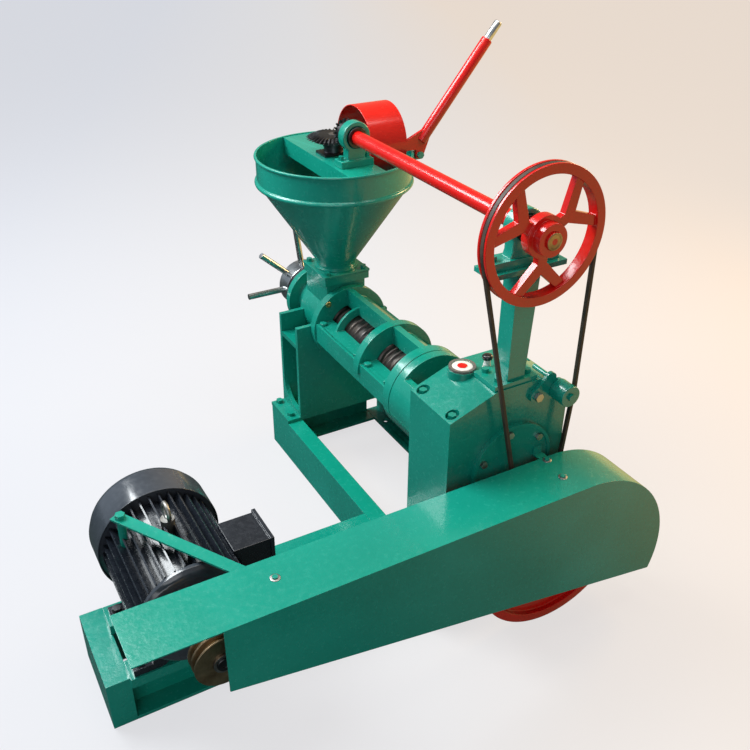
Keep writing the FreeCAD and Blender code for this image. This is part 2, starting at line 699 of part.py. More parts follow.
# ================================================================ gearbox
GEAR_REAR_Y1 = BOX_BACK_Y - BOX_WALL - 8
GEAR_REAR_Y0 = GEAR_REAR_Y1 - SECOND_FACE
GEAR_FRONT_Y0 = BOX_FRONT_Y + BOX_WALL + BEARING_WIDTH + 3
GEAR_FRONT_Y1 = GEAR_FRONT_Y0 + FIRST_FACE
FIRST_CENTRES = FIRST_MODULE * (INPUT_TEETH + LAY_GEAR_TEETH) / 2
SECOND_CENTRES = SECOND_MODULE * (LAY_PINION_TEETH + OUTPUT_TEETH) / 2
OUTPUT_R = SECOND_MODULE * OUTPUT_TEETH / 2


def lay_shaft_place():
    """The lay shaft sits left of the line from output to input shaft, at both centre distances."""
    dx, dz = INPUT_X - PRESS_X, INPUT_Z - PRESS_Z
    span = math.hypot(dx, dz)
    along = (SECOND_CENTRES ** 2 - FIRST_CENTRES ** 2 + span ** 2) / (2 * span)
    off = math.sqrt(SECOND_CENTRES ** 2 - along ** 2)
    ux, uz = dx / span, dz / span
    return (PRESS_X + along * ux + off * uz, PRESS_Z + along * uz - off * ux)


LAY_X, LAY_Z = lay_shaft_place()
LAY_FROM_INPUT = math.atan2(INPUT_Z - LAY_Z, INPUT_X - LAY_X)
OUTPUT_FROM_LAY = math.atan2(LAY_Z - PRESS_Z, LAY_X - PRESS_X)
INPUT_PHASE = LAY_FROM_INPUT + math.pi
LAY_GEAR_PHASE = LAY_FROM_INPUT + math.pi / LAY_GEAR_TEETH
LAY_PINION_PHASE = OUTPUT_FROM_LAY + math.pi
OUTPUT_PHASE = OUTPUT_FROM_LAY + math.pi / OUTPUT_TEETH


def gearbox_case():
    w = BOX_HALF_WIDTH
    case = box(-w, w, BOX_FRONT_Y, BOX_BACK_Y, RAIL_HEIGHT, BOX_SHOULDER_Z)
    t = BOX_WALL
    case = case.cut(box(-w + t, w - t, BOX_FRONT_Y + t, BOX_BACK_Y - t, RAIL_HEIGHT + t, BOX_SHOULDER_Z + 1))
    arch = arch_prism(BOX_FRONT_Y, BOX_BACK_Y, 0)
    inner = arch_prism(BOX_FRONT_Y + t, BOX_BACK_Y - t, t)
    case = case.fuse(arch.cut(inner))
    case = case.cut(rod_y(INPUT_X, INPUT_Z, INPUT_SHAFT_R + SEAL_GAP, BOX_FRONT_Y - 1, BOX_FRONT_Y + t + 1))
    for x, y in cover_bolt_places():
        case = case.cut(cover_pocket(x, y))
    case = case.cut(rod_y(PRESS_X, PRESS_Z, SCREW_SHAFT_R + SEAL_GAP, BOX_BACK_Y - t - 1, BOX_BACK_Y + 1))
    return case.removeSplitter()


def arch_corners(inset, lift):
    """Upper outline of the case: sloping shoulders either side of a flat ridge."""
    w = BOX_HALF_WIDTH - inset
    z0, z1 = BOX_SHOULDER_Z - inset, BOX_SHOULDER_Z + COVER_RISE - inset
    return [(-w, z0 + lift), (-COVER_FLAT_LEFT, z1 + lift), (COVER_FLAT_RIGHT, z1 + lift), (w, z0 + lift)]


def arch_prism(y0, y1, inset):
    w = BOX_HALF_WIDTH - inset
    base = BOX_SHOULDER_Z - 20
    return plate_xz([(-w, base)] + arch_corners(inset, 0) + [(w, base)], y0, y1)


def gearbox_cover():
    """Arched lid that follows the case, notched at its corners for the bolts."""
    corners = arch_corners(0, 0) + list(reversed(arch_corners(0, COVER_THICK)))
    lid = plate_xz(corners, BOX_FRONT_Y, BOX_BACK_Y)
    for x, y in cover_bolt_places():
        lid = lid.cut(cover_pocket(x, y))
    boss = rod_z(SIGHT_X, SIGHT_Y, SIGHT_R + 2, BOX_SHOULDER_Z, COVER_TOP_Z + SIGHT_BOSS)
    return lid.fuse(boss.cut(arch_prism(BOX_FRONT_Y, BOX_BACK_Y, 0)))


def cover_pocket(x, y):
    return rod_z(x, y, COVER_POCKET / 2, BOX_SHOULDER_Z + COVER_SEAT, COVER_TOP_Z + 5)


def cover_bolt_places():
    x = BOX_HALF_WIDTH - 17
    return [(side * x, y) for side in (-1, 1) for y in (BOX_FRONT_Y + 19, BOX_BACK_Y - 19)]


def cover_bolts():
    bolts = []
    for x, y in cover_bolt_places():
        bolts.append(hex_head(x, y, BOX_SHOULDER_Z + COVER_SEAT, 17, 11, V(0, 0, 1)))
    return Part.makeCompound(bolts)


def bearing_cover():
    y1 = BOX_FRONT_Y
    y0 = y1 - BEARING_COVER_THICK
    cover = rod_y(PRESS_X, PRESS_Z, BEARING_COVER_R, y0, y1)
    rim_in = BEARING_COVER_R - BEARING_COVER_RIM
    return cover.fuse(tube_y(PRESS_X, PRESS_Z, BEARING_COVER_R, rim_in, y0 - BEARING_RIM_RISE, y0))


def input_cover():
    y1 = BOX_FRONT_Y
    r = INPUT_SHAFT_R + 24
    cover = rod_y(INPUT_X, INPUT_Z, r, y1 - BEARING_COVER_THICK, y1)
    return cover.cut(rod_y(INPUT_X, INPUT_Z, INPUT_SHAFT_R + SEAL_GAP, y1 - 20, y1 + 1))


def bearing_cover_bolts():
    bolts = []
    y = BOX_FRONT_Y - BEARING_COVER_THICK
    for k in range(6):
        x, z = polar(PRESS_X, PRESS_Z, BEARING_COVER_R - 17, 40 + 60 * k)
        bolts.append(hex_head(x, y, z, 15, 7, V(0, -1, 0)))
    for k in range(4):
        x, z = polar(INPUT_X, INPUT_Z, INPUT_SHAFT_R + 15, 45 + 90 * k)
        bolts.append(hex_head(x, y, z, 9, 4, V(0, -1, 0)))
    return Part.makeCompound(bolts)


def shaft_bearing(x, z, bore_r, y0):
    """Ball bearing drawn as one ring, seated in the case wall."""
    return tube_y(x, z, bore_r + 18, bore_r + RUN_FIT, y0, y0 + BEARING_WIDTH)


def gearbox_bearings():
    front = BOX_FRONT_Y + BOX_WALL
    places = [(INPUT_X, INPUT_Z, INPUT_SHAFT_R, front), (LAY_X, LAY_Z, LAY_SHAFT_R, front)]
    places += [(PRESS_X, PRESS_Z, SCREW_SHAFT_R, front)]
    return Part.makeCompound([shaft_bearing(*place) for place in places])


def rear_bearings():
    rear = BOX_BACK_Y - BOX_WALL - REAR_BEARING_WIDTH
    places = ((INPUT_X, INPUT_Z, INPUT_SHAFT_R), (LAY_X, LAY_Z, LAY_SHAFT_R),
              (PRESS_X, PRESS_Z, SCREW_SHAFT_R))
    return Part.makeCompound([tube_y(x, z, r + 14, r + RUN_FIT, rear, BOX_BACK_Y - BOX_WALL)
                              for x, z, r in places])


# ================================================================ gear shafts
def input_shaft():
    y1 = BOX_BACK_Y - BOX_WALL - AIR
    shaft = rod_y(INPUT_X, INPUT_Z, INPUT_SHAFT_R, MAIN_PULLEY_FRONT - 6, y1)
    pinion = spur_gear(INPUT_X, INPUT_Z, FIRST_MODULE, INPUT_TEETH, GEAR_FRONT_Y0, GEAR_FRONT_Y1,
                       INPUT_PHASE, INPUT_SHAFT_R - 1)
    return shaft.fuse(pinion)


def lay_shaft():
    y0 = BOX_FRONT_Y + BOX_WALL + AIR
    y1 = BOX_BACK_Y - BOX_WALL - AIR
    shaft = rod_y(LAY_X, LAY_Z, LAY_SHAFT_R, y0, y1)
    pinion = spur_gear(LAY_X, LAY_Z, SECOND_MODULE, LAY_PINION_TEETH, GEAR_REAR_Y0, GEAR_REAR_Y1,
                       LAY_PINION_PHASE, LAY_SHAFT_R - 1)
    return shaft.fuse(pinion)


def lay_gear():
    return spur_gear(LAY_X, LAY_Z, FIRST_MODULE, LAY_GEAR_TEETH, GEAR_FRONT_Y0, GEAR_FRONT_Y1,
                     LAY_GEAR_PHASE, LAY_SHAFT_R)


# ================================================================ pulleys
def big_pulley():
    """Cast wheel with a solid web between hub and grooved rim, stiffened by raised rings."""
    y0, y1 = MAIN_PULLEY_FRONT, MAIN_PULLEY_BACK
    x, z = INPUT_X, INPUT_Z
    mid = (y0 + y1) / 2
    web0, web1 = mid - BIG_PULLEY_WEB / 2, mid + BIG_PULLEY_WEB / 2
    rim = tube_y(x, z, BIG_PULLEY_R, BIG_PULLEY_R - BIG_PULLEY_RIM, y0, y1)
    web = rod_y(x, z, BIG_PULLEY_R - BIG_PULLEY_RIM + 1, web0, web1)
    hub = rod_y(x, z, INPUT_SHAFT_R + 22, y0, y1)
    rings = [tube_y(x, z, r, r - WEB_RING_WIDTH, web0 - WEB_RING_RISE, web1 + WEB_RING_RISE)
             for r in BIG_PULLEY_RINGS]
    wheel = fuse(rim, web, hub, *rings)
    for y in MAIN_BELT_YS:
        wheel = wheel.cut(v_groove_cut(x, z, BIG_PULLEY_R, y))
    return wheel.cut(rod_y(x, z, INPUT_SHAFT_R, y0 - 1, y1 + 1))


def motor_pulley():
    y0, y1 = MAIN_PULLEY_FRONT, MAIN_PULLEY_BACK
    wheel = rod_y(MOTOR_X, MOTOR_Z, MOTOR_PULLEY_R, y0, y1)
    for y in MAIN_BELT_YS:
        wheel = wheel.cut(v_groove_cut(MOTOR_X, MOTOR_Z, MOTOR_PULLEY_R, y))
    return wheel.cut(rod_y(MOTOR_X, MOTOR_Z, MOTOR_SHAFT_R, y0 - 1, y1 + 1))


def feed_pulley():
    """Light V pulley with three Y-shaped arms and a stepped hub."""
    x, z, y0 = PRESS_X, FEED_SHAFT_Z, FEED_PULLEY_FRONT
    y1 = y0 + FEED_PULLEY_WIDTH
    rim_in = FEED_PULLEY_R - FEED_PULLEY_RIM
    wheel = tube_y(x, z, FEED_PULLEY_R, rim_in, y0, y1)
    wheel = wheel.fuse(rod_y(x, z, FEED_HUB_R, y0 + 2, y1 - 2))
    wheel = wheel.fuse(rod_y(x, z, FEED_HUB_R - 9, y0 - 16, y1))
    for k in range(3):
        wheel = wheel.fuse(y_arm(rim_in, 30 + 120 * k))
    wheel = wheel.cut(v_groove_cut(x, z, FEED_PULLEY_R, BELT_Y))
    return wheel.cut(rod_y(x, z, FEED_SHAFT_R, y0 - 20, y1 + 1)).removeSplitter()


def y_arm(rim_in, degrees):
    """One arm of the feed pulley: a stem from the hub that forks to two places on the rim."""
    stem_w, branch_w, fork = 11.0, 9.0, 62.0
    spread = math.radians(26)
    tip = (rim_in + 4) * math.cos(spread)
    side = (rim_in + 4) * math.sin(spread)
    y0, y1 = BELT_Y - 7, BELT_Y + 7
    stem = plate_xz([(FEED_HUB_R - 6, -stem_w), (fork, -stem_w * 0.8), (fork, stem_w * 0.8),
                     (FEED_HUB_R - 6, stem_w)], y0, y1)
    arm = stem
    for s in (-1, 1):
        branch = plate_xz([(fork - 14, s * 9), (tip - 5, s * (side + 7)), (tip + 4, s * (side - 9)),
                           (fork + 4, -s * 4)], y0, y1)
        arm = arm.fuse(branch)
    arm.rotate(V(0, 0, 0), V(0, 1, 0), -degrees)
    arm.translate(V(PRESS_X, 0, FEED_SHAFT_Z))
    return arm


def small_pulley():
    x, z, y0 = INPUT_X, INPUT_Z, FEED_PULLEY_FRONT
    wheel = rod_y(x, z, SMALL_PULLEY_R, y0, y0 + FEED_PULLEY_WIDTH)
    wheel = wheel.cut(v_groove_cut(x, z, SMALL_PULLEY_R, BELT_Y))
    return wheel.cut(rod_y(x, z, INPUT_SHAFT_R, y0 - 1, y0 + FEED_PULLEY_WIDTH + 1))


# ================================================================ belts
def tangent_line(c0, c1):
    """Outer tangent from circle c0 to circle c1, on the left of the way from c0 to c1."""
    (x0, z0, r0), (x1, z1, r1) = c0, c1
    d = math.hypot(x1 - x0, z1 - z0)
    turn = math.atan2(z1 - z0, x1 - x0) + math.pi / 2 + math.asin((r1 - r0) / d)
    nx, nz = math.cos(turn), math.sin(turn)
    return (x0 + r0 * nx, z0 + r0 * nz), (x1 + r1 * nx, z1 + r1 * nz)


def belt_face(circles, y):
    """Face inside a belt line that runs clockwise round the circles."""
    lines = [tangent_line(circles[k], circles[(k + 1) % len(circles)]) for k in range(len(circles))]
    edges = []
    for k, (start, end) in enumerate(lines):
        edges.append(Part.makeLine(V(start[0], y, start[1]), V(end[0], y, end[1])))
        x, z, r = circles[(k + 1) % len(circles)]
        leave = lines[(k + 1) % len(lines)][0]
        a0 = math.atan2(end[1] - z, end[0] - x)
        a1 = math.atan2(leave[1] - z, leave[0] - x)
        sweep = (a0 - a1) % (2 * math.pi)
        mid = a0 - sweep / 2
        edges.append(Part.Arc(V(end[0], y, end[1]), V(x + r * math.cos(mid), y, z + r * math.sin(mid)),
                              V(leave[0], y, leave[1])).toShape())
    return Part.Face(Part.Wire(edges))


def v_belt(circles, y_mid):
    """Belt as a flat-sided loop: outer face minus inner face, extruded over its width."""
    y0 = y_mid - BELT_WIDTH / 2
    outer = belt_face([(x, z, r + BELT_THICK / 2) for x, z, r in circles], y0)
    inner = belt_face([(x, z, r - BELT_THICK / 2) for x, z, r in circles], y0)
    return outer.cut(inner).extrude(V(0, BELT_WIDTH, 0))


def feed_belt():
    circles = [(INPUT_X, INPUT_Z, SMALL_PULLEY_R - BELT_DROP),
               (PRESS_X, FEED_SHAFT_Z, FEED_PULLEY_R - BELT_DROP),
               (ROLLER_X, ROLLER_Z, ROLLER_R + BELT_THICK / 2 + AIR)]
    return v_belt(circles, BELT_Y)


# ================================================================ hopper and feeder
def hopper():
    """Cone and band of sheet with a flange below and a rolled rim above."""
    t, neck_z = HOPPER_SHEET, HOPPER_FLANGE_Z + 16
    outer = [(HOPPER_NECK_R + t, HOPPER_FLANGE_Z), (HOPPER_NECK_R + t, neck_z), (HOPPER_R, HOPPER_CONE_Z),
             (HOPPER_R, HOPPER_RIM_Z)]
    inner = [(HOPPER_R - t, HOPPER_RIM_Z), (HOPPER_R - t, HOPPER_CONE_Z), (HOPPER_NECK_R, neck_z),
             (HOPPER_NECK_R, HOPPER_FLANGE_Z)]
    bowl = revolve_z(PRESS_X, HOPPER_Y, outer + inner)
    bottom = rod_z(PRESS_X, HOPPER_Y, HOPPER_NECK_R + 8, HOPPER_FLANGE_Z, HOPPER_FLANGE_Z + 5)
    bottom = bottom.cut(rod_z(PRESS_X, HOPPER_Y, NECK_BORE_R, HOPPER_FLANGE_Z - 1, HOPPER_FLANGE_Z + 6))
    r = RIM_ROLL_R
    out, z = HOPPER_R + r, HOPPER_RIM_Z
    roll = revolve_z(PRESS_X, HOPPER_Y, [(HOPPER_R - t, z - r), (out - 1, z - r), (out, z - 1),
                                         (out - 1, z + r / 2), (HOPPER_R - t, z + r / 2)])
    bead = Part.makeTorus(HOPPER_R - 1, BEAD_R, V(PRESS_X, HOPPER_Y, HOPPER_CONE_Z))
    bead = bead.cut(rod_z(PRESS_X, HOPPER_Y, HOPPER_R - t / 2, HOPPER_CONE_Z - 2 * BEAD_R,
                          HOPPER_CONE_Z + 2 * BEAD_R))
    return fuse(bowl, bottom, roll, bead)


def hopper_beam():
    """Folded channel across the hopper mouth, open below, trimmed to the band."""
    x0, x1 = PRESS_X - BEAM_HALF_LEFT, PRESS_X + BEAM_HALF_RIGHT
    y0, y1 = HOPPER_Y - HOPPER_R, HOPPER_Y + HOPPER_R
    top = HOPPER_RIM_Z
    beam = box(x0, x1, y0, y1, top - BEAM_DEPTH, top)
    t = BEAM_SHEET
    beam = beam.cut(box(x0 + t, x1 - t, y0 - 1, y1 + 1, top - BEAM_DEPTH - 1, top - t))
    beam = beam.common(rod_z(PRESS_X, HOPPER_Y, HOPPER_R - HOPPER_SHEET, top - BEAM_DEPTH, top + 1))
    return beam.cut(rod_z(PRESS_X, HOPPER_Y, AUGER_SHAFT_R + SEAL_GAP, top - t - 1, top + 1))


def flange_bolts():
    """Corner bolts of the throat flange, shared by the hopper flange above."""
    bolts = []
    reach = FEED_FLANGE_HALF - 11
    for sx in (-1, 1):
        for sy in (-1, 1):
            x, y = PRESS_X + sx * reach, HOPPER_Y + sy * reach
            bolts.append(hex_head(x, y, HOPPER_FLANGE_Z, 15, 8, V(0, 0, 1)))
    return Part.makeCompound(bolts)


def auger():
    shaft = rod_z(PRESS_X, HOPPER_Y, AUGER_SHAFT_R, AUGER_LOW_Z - 12, BEVEL_GEAR_Z + 9)
    length = AUGER_TOP_Z - AUGER_LOW_Z
    screw = flight(PRESS_X, HOPPER_Y, AUGER_LOW_Z, V(0, 0, 1), AUGER_SHAFT_R, AUGER_R, AUGER_PITCH, length, 4)
    return shaft.fuse(screw)


def auger_bearing():
    """Flanged bearing on the beam that carries the auger shaft."""
    z = HOPPER_RIM_Z
    plate = box(PRESS_X - 36, PRESS_X + 36, HOPPER_Y - 26, HOPPER_Y + 26, z, z + 6)
    boss = rod_z(PRESS_X, HOPPER_Y, 24, z + 6, z + AUGER_BEARING_HEIGHT)
    bearing = plate.fuse(boss)
    return bearing.cut(rod_z(PRESS_X, HOPPER_Y, AUGER_SHAFT_R + RUN_FIT, z - 1, z + AUGER_BEARING_HEIGHT + 1))


def bevel_wheel(teeth, mate_teeth):
    """Bevel gear with its apex at the origin and its axis along +Z, teeth toward the apex."""
    pitch_r = BEVEL_MODULE * teeth / 2
    height = BEVEL_MODULE * mate_teeth / 2
    cone = math.atan2(pitch_r, height)
    reach = math.hypot(pitch_r, height)
    root_r = height * math.tan(cone - math.atan(1.25 * BEVEL_MODULE / reach))
    tip_r = height * math.tan(cone + math.atan(0.8 * BEVEL_MODULE / reach))
    phase = -math.pi / 2 + (math.pi / teeth if teeth > mate_teeth else 0)
    wires = []
    for share in (1.0, BEVEL_FACE_SHARE):
        outline = tooth_outline(teeth, root_r * share, tip_r * share, 0.50, 0.16, phase)
        corners = [V(u, v, -height * share) for u, v in outline]
        wires.append(Part.makePolygon(corners + corners[:1]))
    return Part.makeLoft(wires, True, True), root_r, height


def bevel_gear():
    wheel, root_r, height = bevel_wheel(BEVEL_GEAR_TEETH, BEVEL_PINION_TEETH)
    back = Part.makeCylinder(root_r - 1, 6, V(0, 0, -height - 6))
    hub = Part.makeCylinder(26, BEVEL_HUB, V(0, 0, -height - BEVEL_HUB))
    wheel = fuse(wheel, back, hub)
    wheel = wheel.cut(Part.makeCylinder(AUGER_SHAFT_R, 80, V(0, 0, -height - 40)))
    wheel.translate(V(PRESS_X, HOPPER_Y, FEED_SHAFT_Z))
    return wheel


def bevel_pinion():
    wheel, root_r, height = bevel_wheel(BEVEL_PINION_TEETH, BEVEL_GEAR_TEETH)
    hub = Part.makeCylinder(root_r, BEVEL_PINION_HUB, V(0, 0, -height - BEVEL_PINION_HUB))
    wheel = wheel.fuse(hub)
    wheel = wheel.cut(Part.makeCylinder(FEED_SHAFT_R, 90, V(0, 0, -height - 60)))
    wheel.Placement = FreeCAD.Placement(V(PRESS_X, HOPPER_Y, FEED_SHAFT_Z), FreeCAD.Rotation(V(1, 0, 0), -90))
    return wheel


BEVEL_GEAR_Z = FEED_SHAFT_Z - BEVEL_MODULE * BEVEL_PINION_TEETH / 2
BEVEL_PINION_Y = HOPPER_Y - BEVEL_MODULE * BEVEL_GEAR_TEETH / 2
BEVEL_HUB = BEVEL_GEAR_Z - HOPPER_RIM_Z - AUGER_BEARING_HEIGHT - AIR
BEVEL_PINION_HUB = 20.0


def feed_shaft():
    return rod_y(PRESS_X, FEED_SHAFT_Z, FEED_SHAFT_R, FEED_PULLEY_FRONT - 20, BEVEL_PINION_Y + 18)


# ================================================================ column and pillow blocks
def pillow_block(y, base_z, half_length):
    """Cast housing: foot plate, tapered neck and round ring for the bearing insert."""
    z = FEED_SHAFT_Z
    w = PILLOW_WIDTH / 2
    x0, x1 = PRESS_X - half_length, PRESS_X + half_length
    base = box(x0, x1, y - w - 6, y + w + 6, base_z, base_z + PILLOW_BASE)
    ring = rod_y(PRESS_X, z, PILLOW_RING_R, y - w, y + w)
    low = min(PILLOW_RING_R + 2, half_length - 2.3 * PILLOW_BOLT_EDGE)
    waist = min(0.8 * PILLOW_RING_R, low)
    shoulder = base_z + PILLOW_BASE + 12
    neck = plate_xz([(PRESS_X - low, base_z), (PRESS_X + low, base_z), (PRESS_X + waist, shoulder),
                     (PRESS_X + waist, z), (PRESS_X - waist, z), (PRESS_X - waist, shoulder)], y - w, y + w)
    block = fuse(base, ring, neck)
    return block.cut(rod_y(PRESS_X, z, PILLOW_INSERT_R, y - w - 1, y + w + 1))


def pillow_insert(y):
    w = PILLOW_WIDTH / 2 + 5
    return tube_y(PRESS_X, FEED_SHAFT_Z, PILLOW_INSERT_R, FEED_SHAFT_R + RUN_FIT, y - w, y + w)


def pillow_bolts():
    places = ((PILLOW_Y_HOPPER, HOPPER_RIM_Z, PILLOW_HALF_HOPPER, 13),
              (PILLOW_Y_COLUMN, COLUMN_TOP_Z + COLUMN_PLATE, PILLOW_HALF_COLUMN, 19))
    bolts = []
    for y, base_z, half, across in places:
        reach = half - PILLOW_BOLT_EDGE * across / 13
        for side in (-1, 1):
            bolts.append(hex_head(PRESS_X + side * reach, y, base_z + PILLOW_BASE, across, 9, V(0, 0, 1)))
    return Part.makeCompound(bolts)


def column():
    low, top = COLUMN_HALF_LOW, COLUMN_HALF_TOP
    z0, z1 = COLUMN_FOOT_Z, COLUMN_TOP_Z
    shells = []
    for inset in (0.0, 4.0):
        wires = []
        for half, z, shift in ((low - inset, z0, 0), (top - inset, z1, COLUMN_TOP_SHIFT)):
            x, y = COLUMN_X + shift, COLUMN_Y
            corners = [V(x - half, y - low + inset, z), V(x + half, y - low + inset, z),
                       V(x + half, y + low - inset, z), V(x - half, y + low - inset, z)]
            wires.append(Part.makePolygon(corners + corners[:1]))
        shells.append(Part.makeLoft(wires, True, True))
    return shells[0].cut(shells[1])


def column_foot():
    return box(-COLUMN_FOOT_LEFT, COLUMN_FOOT_RIGHT, BOX_FRONT_Y + 3, COLUMN_Y + COLUMN_FOOT_BACK,
               COVER_TOP_Z, COLUMN_FOOT_Z)


def column_top_plate():
    return box(COLUMN_X - COLUMN_PLATE_HALF, COLUMN_X + COLUMN_PLATE_HALF, COLUMN_Y - COLUMN_TOP_FRONT,
               COLUMN_Y + COLUMN_TOP_BACK, COLUMN_TOP_Z, COLUMN_TOP_Z + COLUMN_PLATE)


def column_foot_bolts():
    bolts = []
    for dx in COLUMN_BOLT_X:
        for dy in COLUMN_BOLT_Y:
            bolts.append(hex_head(COLUMN_X + dx, COLUMN_Y + dy, COLUMN_FOOT_Z, 15, 8, V(0, 0, 1)))
    return Part.makeCompound(bolts)


# ================================================================ gearbox fittings
def sight_glass():
    """Round window in its ring, seated on the boss of the cover."""
    z = COVER_TOP_Z + SIGHT_BOSS
    ring = rod_z(SIGHT_X, SIGHT_Y, SIGHT_R, z, z + 5)
    return ring.cut(rod_z(SIGHT_X, SIGHT_Y, SIGHT_R - 6, z + 3, z + 6))


def breather():
    x, y = PRESS_X - 10, BOX_BACK_Y - 55
    body = revolve_z(x, y, [(0, COVER_TOP_Z), (9, COVER_TOP_Z), (9, COVER_TOP_Z + 10), (6, COVER_TOP_Z + 12),
                            (6, COVER_TOP_Z + 20), (0, COVER_TOP_Z + 20)])
    return body


def breather_cap():
    x, y = PRESS_X - 10, BOX_BACK_Y - 55
    return revolve_z(x, y, [(0, COVER_TOP_Z + 20), (11, COVER_TOP_Z + 20), (11, COVER_TOP_Z + 27),
                            (7, COVER_TOP_Z + 31), (0, COVER_TOP_Z + 31)])


# ================================================================ belt tensioner
def tension_arm():
    """Arm with a boss round the pivot and a lobe that carries roller pin and handle."""
    y1 = BOX_FRONT_Y - AIR
    y0 = y1 - ARM_THICK
    px, pz = TENSION_PIVOT_X, TENSION_PIVOT_Z
    arm = fuse(rod_y(px, pz, 16, y0, y1), rod_y(ROLLER_X, ROLLER_Z, 20, y0, y1),
               rod_y(HANDLE_X, HANDLE_Z, 12, y0, y1),
               plate_xz([(px, pz - 14), (ROLLER_X, ROLLER_Z - 19), (ROLLER_X, ROLLER_Z + 19),
                         (HANDLE_X, HANDLE_Z + 11), (HANDLE_X - 10, HANDLE_Z + 6), (px - 3, pz + 15)],
                        y0, y1),
               rod_y(ROLLER_X, ROLLER_Z, ROLLER_PIN_R, y0 - ROLLER_LENGTH - 2 * AIR - 5, y0 + 1))
    return arm.cut(rod_y(px, pz, TENSION_BOLT_R + RUN_FIT, y0 - 1, y1 + 1))


def tension_handle():
    y1 = BOX_FRONT_Y - AIR
    return rod_y(HANDLE_X, HANDLE_Z, HANDLE_R, y1, y1 + HANDLE_LENGTH)


def tension_roller():
    y1 = BOX_FRONT_Y - ARM_THICK - 2 * AIR
    return tube_y(ROLLER_X, ROLLER_Z, ROLLER_R, ROLLER_PIN_R + RUN_FIT, y1 - ROLLER_LENGTH, y1)


def tension_bolt():
    y1 = BOX_FRONT_Y
    shank = rod_y(TENSION_PIVOT_X, TENSION_PIVOT_Z, TENSION_BOLT_R, y1 - ARM_THICK - 2 * AIR, y1)
    head = hex_head(TENSION_PIVOT_X, y1 - ARM_THICK - 2 * AIR, TENSION_PIVOT_Z, 19, 8, V(0, -1, 0))
    return shank.fuse(head)


# ================================================================ belt guard
def guard_end():
    return polar(GUARD_ARC_X, GUARD_TOP_Z - GUARD_ARC_R, GUARD_ARC_R, GUARD_END_DEG)


def guard_shell():
    """Front sheet, top sheet and the curved end wrapped round the large pulley."""
    t, cx, cz = GUARD_SHEET, GUARD_ARC_X, GUARD_TOP_Z - GUARD_ARC_R
    y0, y1 = GUARD_FRONT_Y, GUARD_BACK_Y
    ex, ez = guard_end()
    mx, mz = polar(cx, cz, GUARD_ARC_R, (90 + GUARD_END_DEG) / 2)
    edges = [Part.makeLine(V(GUARD_FACE_LEFT_X, y0, GUARD_LOW_LEFT_Z), V(GUARD_FACE_LEFT_X, y0, GUARD_TOP_Z)),
             Part.makeLine(V(GUARD_FACE_LEFT_X, y0, GUARD_TOP_Z), V(cx, y0, GUARD_TOP_Z)),
             Part.Arc(V(cx, y0, GUARD_TOP_Z), V(mx, y0, mz), V(ex, y0, ez)).toShape(),
             Part.makeLine(V(ex, y0, ez), V(GUARD_FACE_LEFT_X, y0, GUARD_LOW_LEFT_Z))]
    face = Part.Face(Part.Wire(edges)).extrude(V(0, t, 0))
    top = box(GUARD_LEFT_X, cx, y0, y1, GUARD_TOP_Z - t, GUARD_TOP_Z)
    ix, iz = polar(cx, cz, GUARD_ARC_R - t, GUARD_END_DEG)
    nx, nz = polar(cx, cz, GUARD_ARC_R - t, (90 + GUARD_END_DEG) / 2)
    wrap_edges = [Part.Arc(V(cx, y0, GUARD_TOP_Z), V(mx, y0, mz), V(ex, y0, ez)).toShape(),
                  Part.makeLine(V(ex, y0, ez), V(ix, y0, iz)),
                  Part.Arc(V(ix, y0, iz), V(nx, y0, nz), V(cx, y0, GUARD_TOP_Z - t)).toShape(),
                  Part.makeLine(V(cx, y0, GUARD_TOP_Z - t), V(cx, y0, GUARD_TOP_Z))]
    wrap = Part.Face(Part.Wire(wrap_edges)).extrude(V(0, y1 - y0, 0))
    return fuse(top, wrap, face)


def guard_screws():
    z = GUARD_TOP_Z
    heads = [hex_head(x, y, z, 11, 4, V(0, 0, 1)) for x, y in GUARD_SCREWS]
    return Part.makeCompound(heads)


def guard_strap():
    """Angle from the gearbox front to the underside of the guard's top sheet."""
    z1 = GUARD_TOP_Z - GUARD_SHEET
    y1 = BOX_FRONT_Y - BEARING_COVER_THICK
    flat = box(STRAP_X, STRAP_X + STRAP_WIDTH, GUARD_BACK_Y - 20, y1, z1 - 4, z1)
    upright = box(STRAP_X, STRAP_X + STRAP_WIDTH, y1 - 4, y1, z1 - 4, z1 + 16)
    return flat.fuse(upright)


def brace_bar():
    """Flat bar from the guard's top sheet back to the stud on the motor."""
    dx, dy = BRACE_MOTOR[0] - BRACE_GUARD[0], BRACE_MOTOR[1] - BRACE_GUARD[1]
    d = math.hypot(dx, dy)
    bar = box(-14, d + 14, -12, 12, -4, 0)
    bar.Placement = FreeCAD.Placement(V(BRACE_GUARD[0], BRACE_GUARD[1], GUARD_TOP_Z - GUARD_SHEET),
                                      FreeCAD.Rotation(V(0, 0, 1), math.degrees(math.atan2(dy, dx))))
    return bar


def brace_stud():
    x, y = BRACE_MOTOR
    bar_top = GUARD_TOP_Z - GUARD_SHEET
    low = MOTOR_Z + math.sqrt(MOTOR_CORE_R ** 2 - (x - MOTOR_X) ** 2)
    stud = rod_z(x, y, 8, low - 3, bar_top - 4)
    return stud.fuse(hex_head(x, y, bar_top, 19, 9, V(0, 0, 1)))


